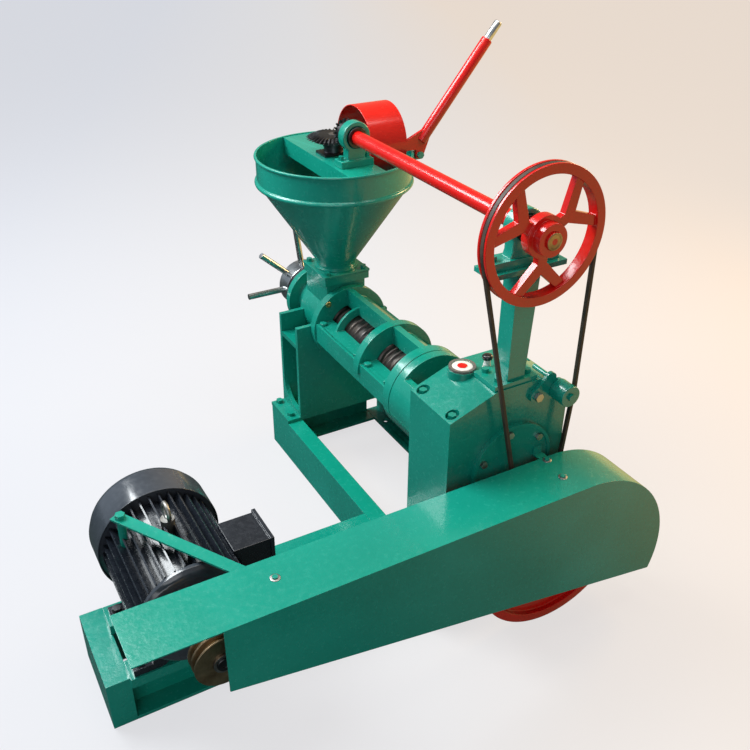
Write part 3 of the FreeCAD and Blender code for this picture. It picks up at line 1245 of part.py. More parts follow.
# ================================================================ gear guard and lever
def gear_guard():
    """Hood over the bevel gears: part of a drum, open below and at both ends."""
    a = math.radians(DRUM_OPEN_DEG)
    y, z, r, t = DRUM_Y, DRUM_Z, DRUM_R, DRUM_SHEET
    shell = rod_x(y, z, r, DRUM_LEFT_X, DRUM_RIGHT_X)
    shell = shell.cut(rod_x(y, z, r - t, DRUM_LEFT_X - 1, DRUM_RIGHT_X + 1))
    reach = 2 * r
    low = plate_yz([(y, z), (y - reach * math.cos(a), z - reach * math.sin(a)), (y - reach, z - 2 * reach),
                    (y + reach, z - 2 * reach), (y + reach * math.cos(a), z - reach * math.sin(a))],
                   DRUM_LEFT_X - 1, DRUM_RIGHT_X + 1)
    return shell.cut(low)


def lever_direction():
    a = math.radians(LEVER_LEAN_DEG)
    return V(math.sin(a), 0, math.cos(a))


def lever_point(along):
    """Point of the lever's axis, which passes the hinge pin at LEVER_OFFSET toward the hood."""
    d = lever_direction()
    return V(LEVER_PIN_X, LEVER_Y, LEVER_PIN_Z) + V(-d.z, 0, d.x) * LEVER_OFFSET + d * along


def lever_tab():
    """Plate that ties the hood to the lever and turns on the hinge pin."""
    px, pz, y = LEVER_PIN_X, LEVER_PIN_Z, LEVER_Y
    low = HOPPER_RIM_Z + RIM_ROLL_R / 2 + 5
    weld = lever_point(LEVER_START + 24)
    tab = plate_xz([(DRUM_RIGHT_X - 8, low), (px - 10, low), (px - 10, pz - 7), (px - 5, pz - 11),
                    (px + 6, pz - 11), (px + 11, pz - 4), (weld.x + 10, weld.z - 8),
                    (weld.x - 8, weld.z + 10), (DRUM_RIGHT_X - 8, low + 26)],
                   y - LEVER_TAB / 2, y + LEVER_TAB / 2)
    inside = rod_x(DRUM_Y, DRUM_Z, DRUM_R, DRUM_LEFT_X, DRUM_RIGHT_X)
    tab = tab.cut(rod_y(px, pz, LEVER_PIN_R + RUN_FIT, y - 20, y + 20))
    return tab.cut(inside)


def lever_tube():
    d = lever_direction()
    length = LEVER_LENGTH - LEVER_START
    tube = Part.makeCylinder(LEVER_R, length, lever_point(LEVER_START), d)
    bore = Part.makeCylinder(LEVER_R - LEVER_WALL, length - 20, lever_point(LEVER_START + 14), d)
    return tube.cut(bore)


def lever_tip():
    return Part.makeCylinder(LEVER_TIP_R, LEVER_TIP_LENGTH, lever_point(LEVER_LENGTH), lever_direction())


def hinge_lug():
    """Lug welded on the hopper band, with the hinge pin and its nut."""
    px, pz = LEVER_PIN_X, LEVER_PIN_Z
    y0 = LEVER_Y + LEVER_TAB / 2 + AIR
    band_x = PRESS_X + math.sqrt(HOPPER_R ** 2 - (HOPPER_Y - y0 - LUG_THICK) ** 2)
    lug = box(band_x - LUG_OVERLAP, px + 12, y0, y0 + LUG_THICK, pz - 14, pz + 10)
    lug = lug.cut(rod_z(PRESS_X, HOPPER_Y, HOPPER_R, pz - 20, pz + 20))
    return lug.cut(rod_z(PRESS_X, HOPPER_Y, HOPPER_R + RIM_ROLL_R, HOPPER_RIM_Z - RIM_ROLL_R, pz + 20))


def hinge_pin():
    px, pz = LEVER_PIN_X, LEVER_PIN_Z
    y0 = LEVER_Y - LEVER_TAB / 2 - AIR
    y1 = LEVER_Y + LEVER_TAB / 2 + AIR
    pin = rod_y(px, pz, LEVER_PIN_R, y0, y1)
    head = hex_head(px, y0, pz, 17, 8, V(0, -1, 0))
    return pin.fuse(head)


# ================================================================ adjusting handwheel
def adjuster_sleeve():
    y0, y1 = FEED_BLOCK_BACK_Y, STAND_BACK_Y + SLEEVE_LENGTH
    sleeve = rod_y(PRESS_X, PRESS_Z, SLEEVE_R, y0, y1)
    flange1 = y1 - SLEEVE_FLANGE_SET
    sleeve = sleeve.fuse(rod_y(PRESS_X, PRESS_Z, SLEEVE_FLANGE_R, flange1 - SLEEVE_FLANGE_THICK, flange1))
    return sleeve.cut(rod_y(PRESS_X, PRESS_Z, THREAD_R + RUN_FIT, y0 - 1, y1 + 1))


def lock_ring():
    y0 = STAND_BACK_Y + SLEEVE_LENGTH + AIR
    y1 = y0 + LOCK_RING_WIDTH
    r, bore = LOCK_RING_R, THREAD_R + RUN_FIT
    return revolve_y(PRESS_X, PRESS_Z, [(bore, y0), (r - 3, y0), (r, y0 + 3), (r, y1 - 3), (r - 3, y1),
                                        (bore, y1)])


def handwheel_hub():
    y0, y1 = HUB_Y, HUB_Y + HUB_WIDTH
    r, bore = HUB_R, THREAD_R + RUN_FIT
    return revolve_y(PRESS_X, PRESS_Z, [(bore, y0), (r - 2, y0), (r, y0 + 2), (r, y1 - 3), (r - 3, y1),
                                        (bore, y1)])


def handwheel_rods():
    y = HUB_Y + HUB_WIDTH / 2
    rods = []
    for degrees in ROD_ANGLES:
        a = math.radians(degrees)
        d = V(math.cos(a), 0, math.sin(a))
        start = V(PRESS_X, y, PRESS_Z) + d * (HUB_R - 6)
        rod = Part.makeCylinder(ROD_R, ROD_REACH - HUB_R + 6, start, d)
        rods.append(rod.cut(rod_y(PRESS_X, PRESS_Z, HUB_R, y - 20, y + 20)))
    return Part.makeCompound(rods)


def thrust_sleeve():
    """Sliding sleeve that bears on the tail of the screw."""
    y0, y1 = FEED_BLOCK_BACK_Y + THRUST_GAP, HUB_Y + HUB_WIDTH + 6
    sleeve = rod_y(PRESS_X, PRESS_Z, THREAD_R, y0, y1)
    return sleeve.cut(rod_y(PRESS_X, PRESS_Z, SCREW_TAIL_R + RUN_FIT, y0 - 1, STAND_BACK_Y + SCREW_TAIL + 8))


# ================================================================ motor
def motor_frame():
    y0, y1 = MOTOR_FRONT_Y, MOTOR_BACK_Y
    frame = tube_y(MOTOR_X, MOTOR_Z, MOTOR_CORE_R, ROTOR_R + 1, y0, y1)
    half = MOTOR_FIN_THICK / 2
    fins = []
    for k in range(MOTOR_FINS):
        degrees = 360.0 / MOTOR_FINS * (k + 0.5)
        if 235 < degrees < 305:
            continue
        fin = box(MOTOR_CORE_R - 2, MOTOR_FIN_R, y0, y1, -half, half)
        fin.rotate(V(0, 0, 0), V(0, 1, 0), -degrees)
        fin.translate(V(MOTOR_X, 0, MOTOR_Z))
        fins.append(fin)
    frame = frame.multiFuse(fins)
    for y in MOTOR_FOOT_Y:
        for side in (-1, 1):
            frame = frame.fuse(motor_foot(y, side))
    frame = frame.cut(terminal_pocket())
    frame = frame.cut(rod_z(MOTOR_X, EYEBOLT_Y, EYEBOLT_BASE_R + AIR, MOTOR_Z + MOTOR_CORE_R,
                            MOTOR_Z + 2 * MOTOR_FIN_R))
    x, y = BRACE_MOTOR
    frame = frame.cut(rod_z(x, y, 9, MOTOR_Z + 40, MOTOR_Z + MOTOR_FIN_R + 20))
    return frame.removeSplitter()


def motor_foot(y, side):
    z0 = MOTOR_PAD_Z
    z1 = z0 + MOTOR_FOOT_THICK
    w = MOTOR_FOOT_WIDTH / 2
    outline = [(40, z0 + 46), (40, z0 + 20), (66, z0), (MOTOR_FOOT_HALF, z0), (MOTOR_FOOT_HALF, z1),
               (86, z1), (80, z0 + 70), (60, z0 + 62)]
    corners = [(MOTOR_X + side * x, z) for x, z in outline]
    return plate_xz(corners, y - w, y + w)


def terminal_pocket():
    return box(MOTOR_X + MOTOR_CORE_R - 4, MOTOR_X + 140, TERMINAL_Y - TERMINAL_LENGTH / 2,
               TERMINAL_Y + TERMINAL_LENGTH / 2, TERMINAL_Z - TERMINAL_HEIGHT / 2,
               TERMINAL_Z + TERMINAL_HEIGHT / 2)


def terminal_box():
    x0, x1 = MOTOR_X + MOTOR_CORE_R - 4, TERMINAL_LID_X
    h = TERMINAL_HEIGHT / 2
    return box(x0, x1, TERMINAL_Y - TERMINAL_LENGTH / 2, TERMINAL_Y + TERMINAL_LENGTH / 2,
               TERMINAL_Z - h, TERMINAL_Z + h).cut(rod_y(MOTOR_X, MOTOR_Z, MOTOR_CORE_R, MOTOR_FRONT_Y,
                                                       MOTOR_BACK_Y))


def terminal_lid():
    h, w = TERMINAL_HEIGHT / 2 + 4, TERMINAL_LENGTH / 2 + 4
    return box(TERMINAL_LID_X, TERMINAL_LID_X + 8, TERMINAL_Y - w, TERMINAL_Y + w, TERMINAL_Z - h,
               TERMINAL_Z + h)


def end_shields():
    """Bearing shields at both ends of the motor frame; the cowl sits on the rear one."""
    front0 = MOTOR_FRONT_Y - MOTOR_SHIELD
    bore, rim = MOTOR_SHAFT_R + RUN_FIT, MOTOR_FIN_R - 2
    front = revolve_y(MOTOR_X, MOTOR_Z, [(bore, front0), (48, front0), (56, front0 + 6),
                                         (rim - 10, front0 + 10), (rim, front0 + 18), (rim, MOTOR_FRONT_Y),
                                         (bore, MOTOR_FRONT_Y)])
    back = tube_y(MOTOR_X, MOTOR_Z, FAN_COVER_R - FAN_COVER_SHEET, MOTOR_SHAFT_R - 4 + RUN_FIT, MOTOR_BACK_Y,
                  MOTOR_BACK_Y + 12)
    return Part.makeCompound([front, back])


def fan_cover():
    """Pressed cowl with a rounded back that laps over the rear shield."""
    y0, y1 = FAN_COVER_FRONT_Y, FAN_COVER_FRONT_Y + FAN_COVER_LENGTH
    r, t = FAN_COVER_R, FAN_COVER_SHEET
    outer = [(r, y0), (r, y1 - 26), (r - 5, y1 - 12), (r - 16, y1 - 3), (r - 30, y1), (0, y1)]
    inner = [(0, y1 - t), (r - 31, y1 - t), (r - 18, y1 - 5.5), (r - 7.5, y1 - 14), (r - t, y1 - 27),
             (r - t, y0)]
    return revolve_y(MOTOR_X, MOTOR_Z, outer + inner)


def motor_shaft():
    front = rod_y(MOTOR_X, MOTOR_Z, MOTOR_SHAFT_R, MAIN_PULLEY_FRONT - 4, MOTOR_FRONT_Y - AIR)
    return front, rod_y(MOTOR_X, MOTOR_Z, MOTOR_SHAFT_R - 4, MOTOR_BACK_Y + AIR, FAN_BACK_Y)


def rotor():
    """Rotor core and shaft: the core runs inside the hollow frame."""
    front, tail = motor_shaft()
    core = rod_y(MOTOR_X, MOTOR_Z, ROTOR_R, MOTOR_FRONT_Y + AIR, MOTOR_BACK_Y - AIR)
    joined = rod_y(MOTOR_X, MOTOR_Z, MOTOR_SHAFT_R - 4, MOTOR_FRONT_Y - 5, MOTOR_BACK_Y + 5)
    return fuse(core, front, tail, joined)


def cooling_fan():
    y0, y1 = FAN_FRONT_Y, FAN_BACK_Y
    fan = rod_y(MOTOR_X, MOTOR_Z, FAN_HUB_R, y0, y1).fuse(rod_y(MOTOR_X, MOTOR_Z, FAN_R, y1 - 3, y1))
    for k in range(FAN_BLADES):
        blade = box(FAN_HUB_R - 4, FAN_R - 2, y0, y1, -1.5, 1.5)
        blade.rotate(V(0, 0, 0), V(0, 1, 0), 360 / FAN_BLADES * k)
        blade.translate(V(MOTOR_X, 0, MOTOR_Z))
        fan = fan.fuse(blade)
    return fan.cut(rod_y(MOTOR_X, MOTOR_Z, MOTOR_SHAFT_R - 4, y0 - 1, y1 + 1)).removeSplitter()


def eyebolt():
    z = MOTOR_Z + MOTOR_FIN_R - 2
    ring = Part.makeTorus(16, 4.5, V(MOTOR_X, EYEBOLT_Y, z + 27), V(1, 0, 0))
    base = rod_z(MOTOR_X, EYEBOLT_Y, EYEBOLT_BASE_R, MOTOR_Z + MOTOR_CORE_R, z + 12)
    return base.fuse(ring)


def motor_bolts():
    bolts = []
    for y in MOTOR_FOOT_Y:
        for side in (-1, 1):
            bolts.append(hex_head(MOTOR_X + side * 108, y, MOTOR_PAD_Z + MOTOR_FOOT_THICK, 19, 9, V(0, 0, 1)))
    return Part.makeCompound(bolts)


def stand_bolts():
    bolts = []
    for side in (-1, 1):
        for y in (STAND_Y + 24, STAND_BACK_Y - 13):
            x = side * (SKID_HALF_WIDTH + STAND_HALF_WIDTH) / 2
            bolts.append(hex_head(x, y, RAIL_HEIGHT + STAND_FOOT_THICK, 19, 9, V(0, 0, 1)))
    return Part.makeCompound(bolts)


def feed_rings():
    return ring_row(RIB_Y, STAND_Y, FEED_RINGS, FEED_RING_R)


def main_rings():
    return ring_row(MID_COLLAR_Y + MID_COLLAR_THICK / 2, RIB_Y, MAIN_RINGS, RING_R)


def fine_rings():
    return ring_row(BODY_END_Y, MID_COLLAR_Y + MID_COLLAR_THICK / 2, FINE_RINGS, RING_R)


def machine_bolts():
    groups = [stand_bolts(), flange_bolts(), cover_bolts(), bearing_cover_bolts(), motor_bolts(),
              column_foot_bolts(), pillow_bolts(), tension_bolt()]
    return Part.makeCompound(groups)


def shaft_bearings():
    groups = [gearbox_bearings(), rear_bearings(), auger_bearing(), pillow_insert(PILLOW_Y_HOPPER),
              pillow_insert(PILLOW_Y_COLUMN)]
    return Part.makeCompound(groups)


def pillow_blocks():
    return Part.makeCompound([pillow_block(PILLOW_Y_HOPPER, HOPPER_RIM_Z, PILLOW_HALF_HOPPER),
                              pillow_block(PILLOW_Y_COLUMN, COLUMN_TOP_Z + COLUMN_PLATE, PILLOW_HALF_COLUMN)])


# ================================================================ files
NODES = {
    "skid_left_rail": lambda: skid_rail(-1),
    "skid_right_rail": lambda: skid_rail(1),
    "skid_cross_members": lambda: Part.makeCompound([skid_cross(-SKID_HALF_LENGTH, 1),
                                                     skid_cross(SKID_HALF_LENGTH, -1)]),
    "motor_base_end": motor_base_end,
    "motor_base_rails": lambda: Part.makeCompound([motor_base_front(), motor_base_rear()]),
    "motor_pads": lambda: Part.makeCompound([motor_pad(y) for y in MOTOR_FOOT_Y]),
    "rear_stand": rear_stand,
    "feed_block": feed_block,
    "press_body_upper": lambda: body_half(True),
    "press_body_lower": lambda: body_half(False),
    "body_bolts": body_bolts,
    "machine_bolts": machine_bolts,
    "feed_rings": feed_rings,
    "main_rings": main_rings,
    "fine_rings": fine_rings,
    "press_screw": press_screw,
    "output_gear": output_gear,
    "cake_housing": cake_housing,
    "gearbox_case": gearbox_case,
    "gearbox_cover": gearbox_cover,
    "bearing_cover": lambda: Part.makeCompound([bearing_cover(), input_cover()]),
    "shaft_bearings": shaft_bearings,
    "sight_glass": sight_glass,
    "breather": lambda: Part.makeCompound([breather(), breather_cap()]),
    "input_shaft": input_shaft,
    "lay_shaft": lay_shaft,
    "lay_gear": lay_gear,
    "big_pulley": big_pulley,
    "small_pulley": small_pulley,
    "motor_pulley": motor_pulley,
    "feed_belt": feed_belt,
    "feed_pulley": feed_pulley,
    "feed_shaft": feed_shaft,
    "bevel_pinion": bevel_pinion,
    "bevel_gear": bevel_gear,
    "auger": auger,
    "hopper": hopper,
    "hopper_beam": hopper_beam,
    "pillow_blocks": pillow_blocks,
    "column": lambda: Part.makeCompound([column_foot(), column(), column_top_plate()]),
    "tension_arm": lambda: Part.makeCompound([tension_arm(), tension_handle()]),
    "tension_roller": tension_roller,
    "belt_guard": guard_shell,
    "guard_brace": lambda: Part.makeCompound([brace_bar(), brace_stud(), guard_strap(), guard_screws()]),
    "gear_guard": gear_guard,
    "lever": lambda: fuse(lever_tab(), lever_tube()),
    "lever_tip": lever_tip,
    "hinge_lug": lambda: Part.makeCompound([hinge_lug(), hinge_pin()]),
    "adjuster_sleeve": adjuster_sleeve,
    "lock_ring": lock_ring,
    "handwheel_hub": handwheel_hub,
    "handwheel_rods": handwheel_rods,
    "thrust_sleeve": thrust_sleeve,
    "motor_frame": motor_frame,
    "fan_cover": lambda: Part.makeCompound([end_shields(), fan_cover()]),
    "terminal_box": lambda: fuse(terminal_box(), terminal_lid()),
    "motor_rotor": rotor,
    "cooling_fan": cooling_fan,
    "eyebolt": eyebolt,
}

os.makedirs("parts", exist_ok=True)
for name, make in NODES.items():
    make().exportStep("parts/" + name + ".step")
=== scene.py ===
"""Looks of a screw oil press: finishes, small parts, floor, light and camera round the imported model."""
import json
import math

import bmesh
import bpy
from mathutils import Matrix, Vector


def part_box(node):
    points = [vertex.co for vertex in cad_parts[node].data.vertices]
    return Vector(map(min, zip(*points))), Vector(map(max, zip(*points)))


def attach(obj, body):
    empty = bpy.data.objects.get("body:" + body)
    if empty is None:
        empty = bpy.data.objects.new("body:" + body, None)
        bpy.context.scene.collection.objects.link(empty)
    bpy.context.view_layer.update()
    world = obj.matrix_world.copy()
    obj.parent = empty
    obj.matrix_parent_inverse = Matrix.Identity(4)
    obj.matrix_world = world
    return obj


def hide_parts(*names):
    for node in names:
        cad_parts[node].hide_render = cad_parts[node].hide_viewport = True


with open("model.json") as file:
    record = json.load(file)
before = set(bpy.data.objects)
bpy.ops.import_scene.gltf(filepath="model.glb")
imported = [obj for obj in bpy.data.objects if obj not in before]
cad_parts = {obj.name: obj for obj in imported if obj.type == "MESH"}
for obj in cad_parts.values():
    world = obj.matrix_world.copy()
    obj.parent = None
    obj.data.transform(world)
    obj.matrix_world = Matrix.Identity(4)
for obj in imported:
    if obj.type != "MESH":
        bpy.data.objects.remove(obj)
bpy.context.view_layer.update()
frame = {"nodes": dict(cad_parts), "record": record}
NODES = frame["nodes"]
MM = 0.001


# ---------------------------------------------------------------- node helpers
def new_material(name):
    mat = bpy.data.materials.new(name)
    mat.use_nodes = True
    nt = mat.node_tree
    nt.nodes.clear()
    out = nt.nodes.new("ShaderNodeOutputMaterial")
    bsdf = nt.nodes.new("ShaderNodeBsdfPrincipled")
    nt.links.new(bsdf.outputs[0], out.inputs[0])
    return mat, nt, bsdf


def node(nt, kind, inputs=None, **attrs):
    n = nt.nodes.new("ShaderNode" + kind)
    for key, value in attrs.items():
        setattr(n, key, value)
    for key, value in (inputs or {}).items():
        if isinstance(value, bpy.types.NodeSocket):
            nt.links.new(value, n.inputs[key])
        else:
            n.inputs[key].default_value = value
    return n


def coords(nt, scale=(1.0, 1.0, 1.0)):
    tex = node(nt, "TexCoord")
    mapping = node(nt, "Mapping", {"Vector": tex.outputs["Object"], "Scale": scale})
    return mapping.outputs[0]


def noise(nt, vec, scale, detail=3.0, rough=0.5, distortion=0.0):
    n = node(nt, "TexNoise", {"Vector": vec, "Scale": scale, "Detail": detail, "Roughness": rough,
                              "Distortion": distortion})
    return n.outputs["Fac"]


def voronoi(nt, vec, scale, feature="F1"):
    n = node(nt, "TexVoronoi", {"Vector": vec, "Scale": scale}, feature=feature)
    return n.outputs["Distance"]


def remap(nt, value, a, b, low, high):
    n = node(nt, "MapRange", {"Value": value, "From Min": a, "From Max": b, "To Min": low, "To Max": high})
    return n.outputs[0]


def math_node(nt, op, a, b=0.0):
    return node(nt, "Math", {0: a, 1: b}, operation=op).outputs[0]


def ramp(nt, fac, stops):
    n = node(nt, "ValToRGB", {"Fac": fac})
    elements = n.color_ramp.elements
    while len(elements) < len(stops):
        elements.new(0.5)
    for element, (pos, colour) in zip(elements, stops):
        element.position = pos
        element.color = (*colour, 1.0)
    return n.outputs[0]


def mix_colour(nt, fac, a, b, blend="MIX"):
    n = nt.nodes.new("ShaderNodeMix")
    n.data_type = "RGBA"
    n.blend_type = blend
    for key, value in ((0, fac), (6, a), (7, b)):
        if isinstance(value, bpy.types.NodeSocket):
            nt.links.new(value, n.inputs[key])
        else:
            n.inputs[key].default_value = value if key == 0 else (*value, 1.0)
    return n.outputs[2]


def bump(nt, height, strength, distance, normal=None):
    n = node(nt, "Bump", {"Height": height, "Strength": strength, "Distance": distance})
    if normal is not None:
        nt.links.new(normal, n.inputs["Normal"])
    return n.outputs[0]


def set_inputs(nt, bsdf, values):
    for key, value in values.items():
        if isinstance(value, bpy.types.NodeSocket):
            nt.links.new(value, bsdf.inputs[key])
        elif isinstance(value, tuple) and len(value) == 3:
            bsdf.inputs[key].default_value = (*value, 1.0)
        else:
            bsdf.inputs[key].default_value = value


def edge_mask(nt, low, high):
    geo = node(nt, "NewGeometry")
    return remap(nt, geo.outputs["Pointiness"], low, high, 0.0, 1.0)


# ---------------------------------------------------------------- finishes
def enamel(name, base, deep, light, peel=0.25, cast=0.0, rough=0.22, coat=0.45):
    """Thick gloss enamel: soft colour drift, orange peel, and casting skin under it where asked."""
    mat, nt, bsdf = new_material(name)
    vec = coords(nt)
    drift = noise(nt, vec, 5.0, 2.0, 0.5)
    fine = noise(nt, vec, 90.0, 3.0, 0.6)
    colour = ramp(nt, drift, [(0.20, deep), (0.50, base), (0.85, light)])
    speck = remap(nt, fine, 0.45, 0.75, 0.0, 0.22)
    colour = mix_colour(nt, speck, colour, light)
    edge = edge_mask(nt, 0.535, 0.60)
    colour = mix_colour(nt, math_node(nt, "MULTIPLY", edge, 0.45), colour, light)
    orange = noise(nt, vec, 230.0, 2.0, 0.5)
    dimple = voronoi(nt, vec, 170.0, "SMOOTH_F1")
    height = math_node(nt, "ADD", orange, math_node(nt, "MULTIPLY", dimple, 0.7))
    normal = bump(nt, height, peel, 0.0006)
    if cast:
        skin = noise(nt, vec, 95.0, 5.0, 0.65)
        normal = bump(nt, skin, cast, 0.0012, normal)
    rough_map = remap(nt, fine, 0.3, 0.7, rough - 0.05, rough + 0.08)
    set_inputs(nt, bsdf, {"Base Color": colour, "Roughness": rough_map, "Normal": normal,
                          "Specular IOR Level": 0.40, "Coat Weight": coat, "Coat Roughness": 0.10})
    return mat


def metal(name, dark, light, rough, streak=(1.0, 1.0, 1.0), scale=60.0, strength=0.12, grime=0.0):
    """Bare or plated metal with tool marks along one direction and some grime."""
    mat, nt, bsdf = new_material(name)
    vec = coords(nt, streak)
    marks = noise(nt, vec, scale, 4.0, 0.65)
    plain = coords(nt)
    blotch = noise(nt, plain, 14.0, 4.0, 0.6)
    colour = ramp(nt, marks, [(0.25, dark), (0.75, light)])
    if grime:
        stain = remap(nt, blotch, 0.48, 0.68, 0.0, grime)
        colour = mix_colour(nt, stain, colour, (0.055, 0.035, 0.020))
    edge = edge_mask(nt, 0.53, 0.60)
    colour = mix_colour(nt, math_node(nt, "MULTIPLY", edge, 0.6), colour, light)
    rough_map = remap(nt, blotch, 0.3, 0.7, rough - 0.08, rough + 0.12)
    set_inputs(nt, bsdf, {"Base Color": colour, "Metallic": 1.0, "Roughness": rough_map,
                          "Normal": bump(nt, marks, strength, 0.0005)})
    return mat


def rubber(name):
    mat, nt, bsdf = new_material(name)
    vec = coords(nt)
    weave = noise(nt, vec, 420.0, 2.0, 0.5)
    dust = noise(nt, vec, 30.0, 4.0, 0.6)
    colour = ramp(nt, dust, [(0.3, (0.012, 0.008, 0.006)), (0.75, (0.055, 0.032, 0.020))])
    edge = edge_mask(nt, 0.53, 0.60)
    colour = mix_colour(nt, math_node(nt, "MULTIPLY", edge, 0.5), colour, (0.16, 0.10, 0.06))
    set_inputs(nt, bsdf, {"Base Color": colour, "Roughness": remap(nt, dust, 0.3, 0.7, 0.5, 0.75),
                          "Normal": bump(nt, weave, 0.3, 0.0004)})
    return mat


def glass(name, colour):
    mat, nt, bsdf = new_material(name)
    vec = coords(nt)
    faint = noise(nt, vec, 18.0, 2.0, 0.5)
    set_inputs(nt, bsdf, {"Base Color": colour, "Roughness": remap(nt, faint, 0.3, 0.7, 0.02, 0.07),
                          "Transmission Weight": 0.85, "IOR": 1.45})
    return mat


GREEN = enamel("green_enamel", (0.003, 0.225, 0.163), (0.002, 0.198, 0.142), (0.012, 0.290, 0.218), peel=0.34)
GREEN_CAST = enamel("green_cast_enamel", (0.003, 0.212, 0.152), (0.002, 0.180, 0.128), (0.012, 0.280, 0.208),
                    peel=0.42, cast=0.40)
RED = enamel("red_enamel", (0.560, 0.006, 0.004), (0.480, 0.004, 0.003), (0.660, 0.016, 0.008), peel=0.05,
             rough=0.20, coat=0.30)
RED_CAST = enamel("red_cast_enamel", (0.540, 0.006, 0.004), (0.450, 0.004, 0.003), (0.660, 0.018, 0.010),
                  peel=0.12, cast=0.16, rough=0.20, coat=0.30)
MOTOR = enamel("motor_enamel", (0.010, 0.013, 0.019), (0.007, 0.009, 0.013), (0.030, 0.037, 0.050),
               peel=0.25, cast=0.30, rough=0.26)
COWL = enamel("cowl_enamel", (0.034, 0.040, 0.050), (0.024, 0.028, 0.036), (0.080, 0.090, 0.108),
              peel=0.08, rough=0.16)
IVORY = enamel("ivory_enamel", (0.640, 0.640, 0.600), (0.580, 0.580, 0.540), (0.740, 0.740, 0.700),
               peel=0.08, rough=0.25)
STEEL = metal("bright_steel", (0.42, 0.43, 0.43), (0.72, 0.73, 0.74), 0.26, (1.0, 14.0, 1.0))
BOLT = metal("plated_bolt", (0.24, 0.24, 0.23), (0.52, 0.52, 0.50), 0.38, grime=0.5)
WORN = metal("worn_steel", (0.16, 0.15, 0.14), (0.40, 0.38, 0.36), 0.40, (1.0, 10.0, 1.0), grime=0.6)
RING = metal("ring_steel", (0.022, 0.020, 0.019), (0.12, 0.11, 0.105), 0.30, (1.0, 6.0, 1.0), grime=0.5)
DARK = metal("dark_steel", (0.030, 0.031, 0.033), (0.085, 0.086, 0.090), 0.40)
BEARING = metal("bearing_steel", (0.020, 0.020, 0.022), (0.10, 0.10, 0.11), 0.38)
BRASS = metal("brass", (0.42, 0.30, 0.10), (0.70, 0.54, 0.24), 0.30)
STAINED = metal("stained_iron", (0.20, 0.13, 0.070), (0.48, 0.36, 0.22), 0.40, scale=40.0, grime=0.8)
CAP = enamel("breather_cap", (0.012, 0.012, 0.013), (0.008, 0.008, 0.009), (0.030, 0.030, 0.032), peel=0.04,
             rough=0.12)
BELT = rubber("belt_rubber")
GLASS = glass("sight_glass", (0.80, 0.76, 0.68))

FINISH = {
    "green": GREEN_CAST, "green_sheet": GREEN, "red": RED_CAST, "lever_paint": RED, "bolt_steel": BOLT,
    "ring_steel": RING, "worn_steel": WORN, "bevel_iron": DARK, "bright_steel": STEEL, "dark_steel": DARK,
    "bearing_black": BEARING, "brass": BRASS, "glass": GLASS, "belt_rubber": BELT, "pulley_iron": STAINED,
    "motor_paint": MOTOR, "cowl_paint": COWL, "fan_plastic": DARK,
}


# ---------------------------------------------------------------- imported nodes
def dress_node(obj, material, bevel=0.0012, angle=35.0):
    """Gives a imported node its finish, and softens its edges without touching its own vertices."""
    obj.data.materials.clear()
    obj.data.materials.append(material)
    for name in ("custom_normal",):
        layer = obj.data.attributes.get(name)
        if layer is not None:
            obj.data.attributes.remove(layer)
    for polygon in obj.data.polygons:
        polygon.use_smooth = True
    weld = obj.modifiers.new("weld", "WELD")
    weld.merge_threshold = 0.00002
    edge = obj.modifiers.new("edge", "BEVEL")
    edge.width = bevel
    edge.segments = 2
    edge.limit_method = "ANGLE"
    edge.angle_limit = math.radians(angle)
    edge.use_clamp_overlap = True
    normals = obj.modifiers.new("normals", "WEIGHTED_NORMAL")
    normals.keep_sharp = True


CAST_EDGE = 0.0024
SHEET_EDGE = 0.0008
ROUNDER = {"feed_pulley": CAST_EDGE, "big_pulley": CAST_EDGE, "pillow_blocks": CAST_EDGE,
           "feed_block": CAST_EDGE, "press_body_upper": 0.0018, "press_body_lower": 0.0018, "tension_arm": 0.0018,
           "hopper": SHEET_EDGE, "belt_guard": SHEET_EDGE, "gear_guard": SHEET_EDGE, "fan_cover": SHEET_EDGE}
slots = {entry["node"]: entry["material_slot"] for entry in frame["record"]["subparts"]}
for name, obj in NODES.items():
    dress_node(obj, FINISH[slots[name]], ROUNDER.get(name, 0.0012))


def paint_bolts():
    """Most fasteners were sprayed with the machine; those on the motor are black, the front ones bare."""
    mesh = NODES["machine_bolts"].data
    mesh.materials.clear()
    for material in (GREEN_CAST, BOLT, DARK):
        mesh.materials.append(material)
    cover_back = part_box("bearing_cover")[1].y
    motor_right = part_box("motor_frame")[1].x
    for polygon in mesh.polygons:
        if polygon.center.x < motor_right:
            polygon.material_index = 2
        elif polygon.center.y < cover_back and polygon.center.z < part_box("gearbox_cover")[1].z:
            polygon.material_index = 1
        else:
            polygon.material_index = 0


paint_bolts()


# ---------------------------------------------------------------- small parts that the solids leave out
TURN_STEPS = 56


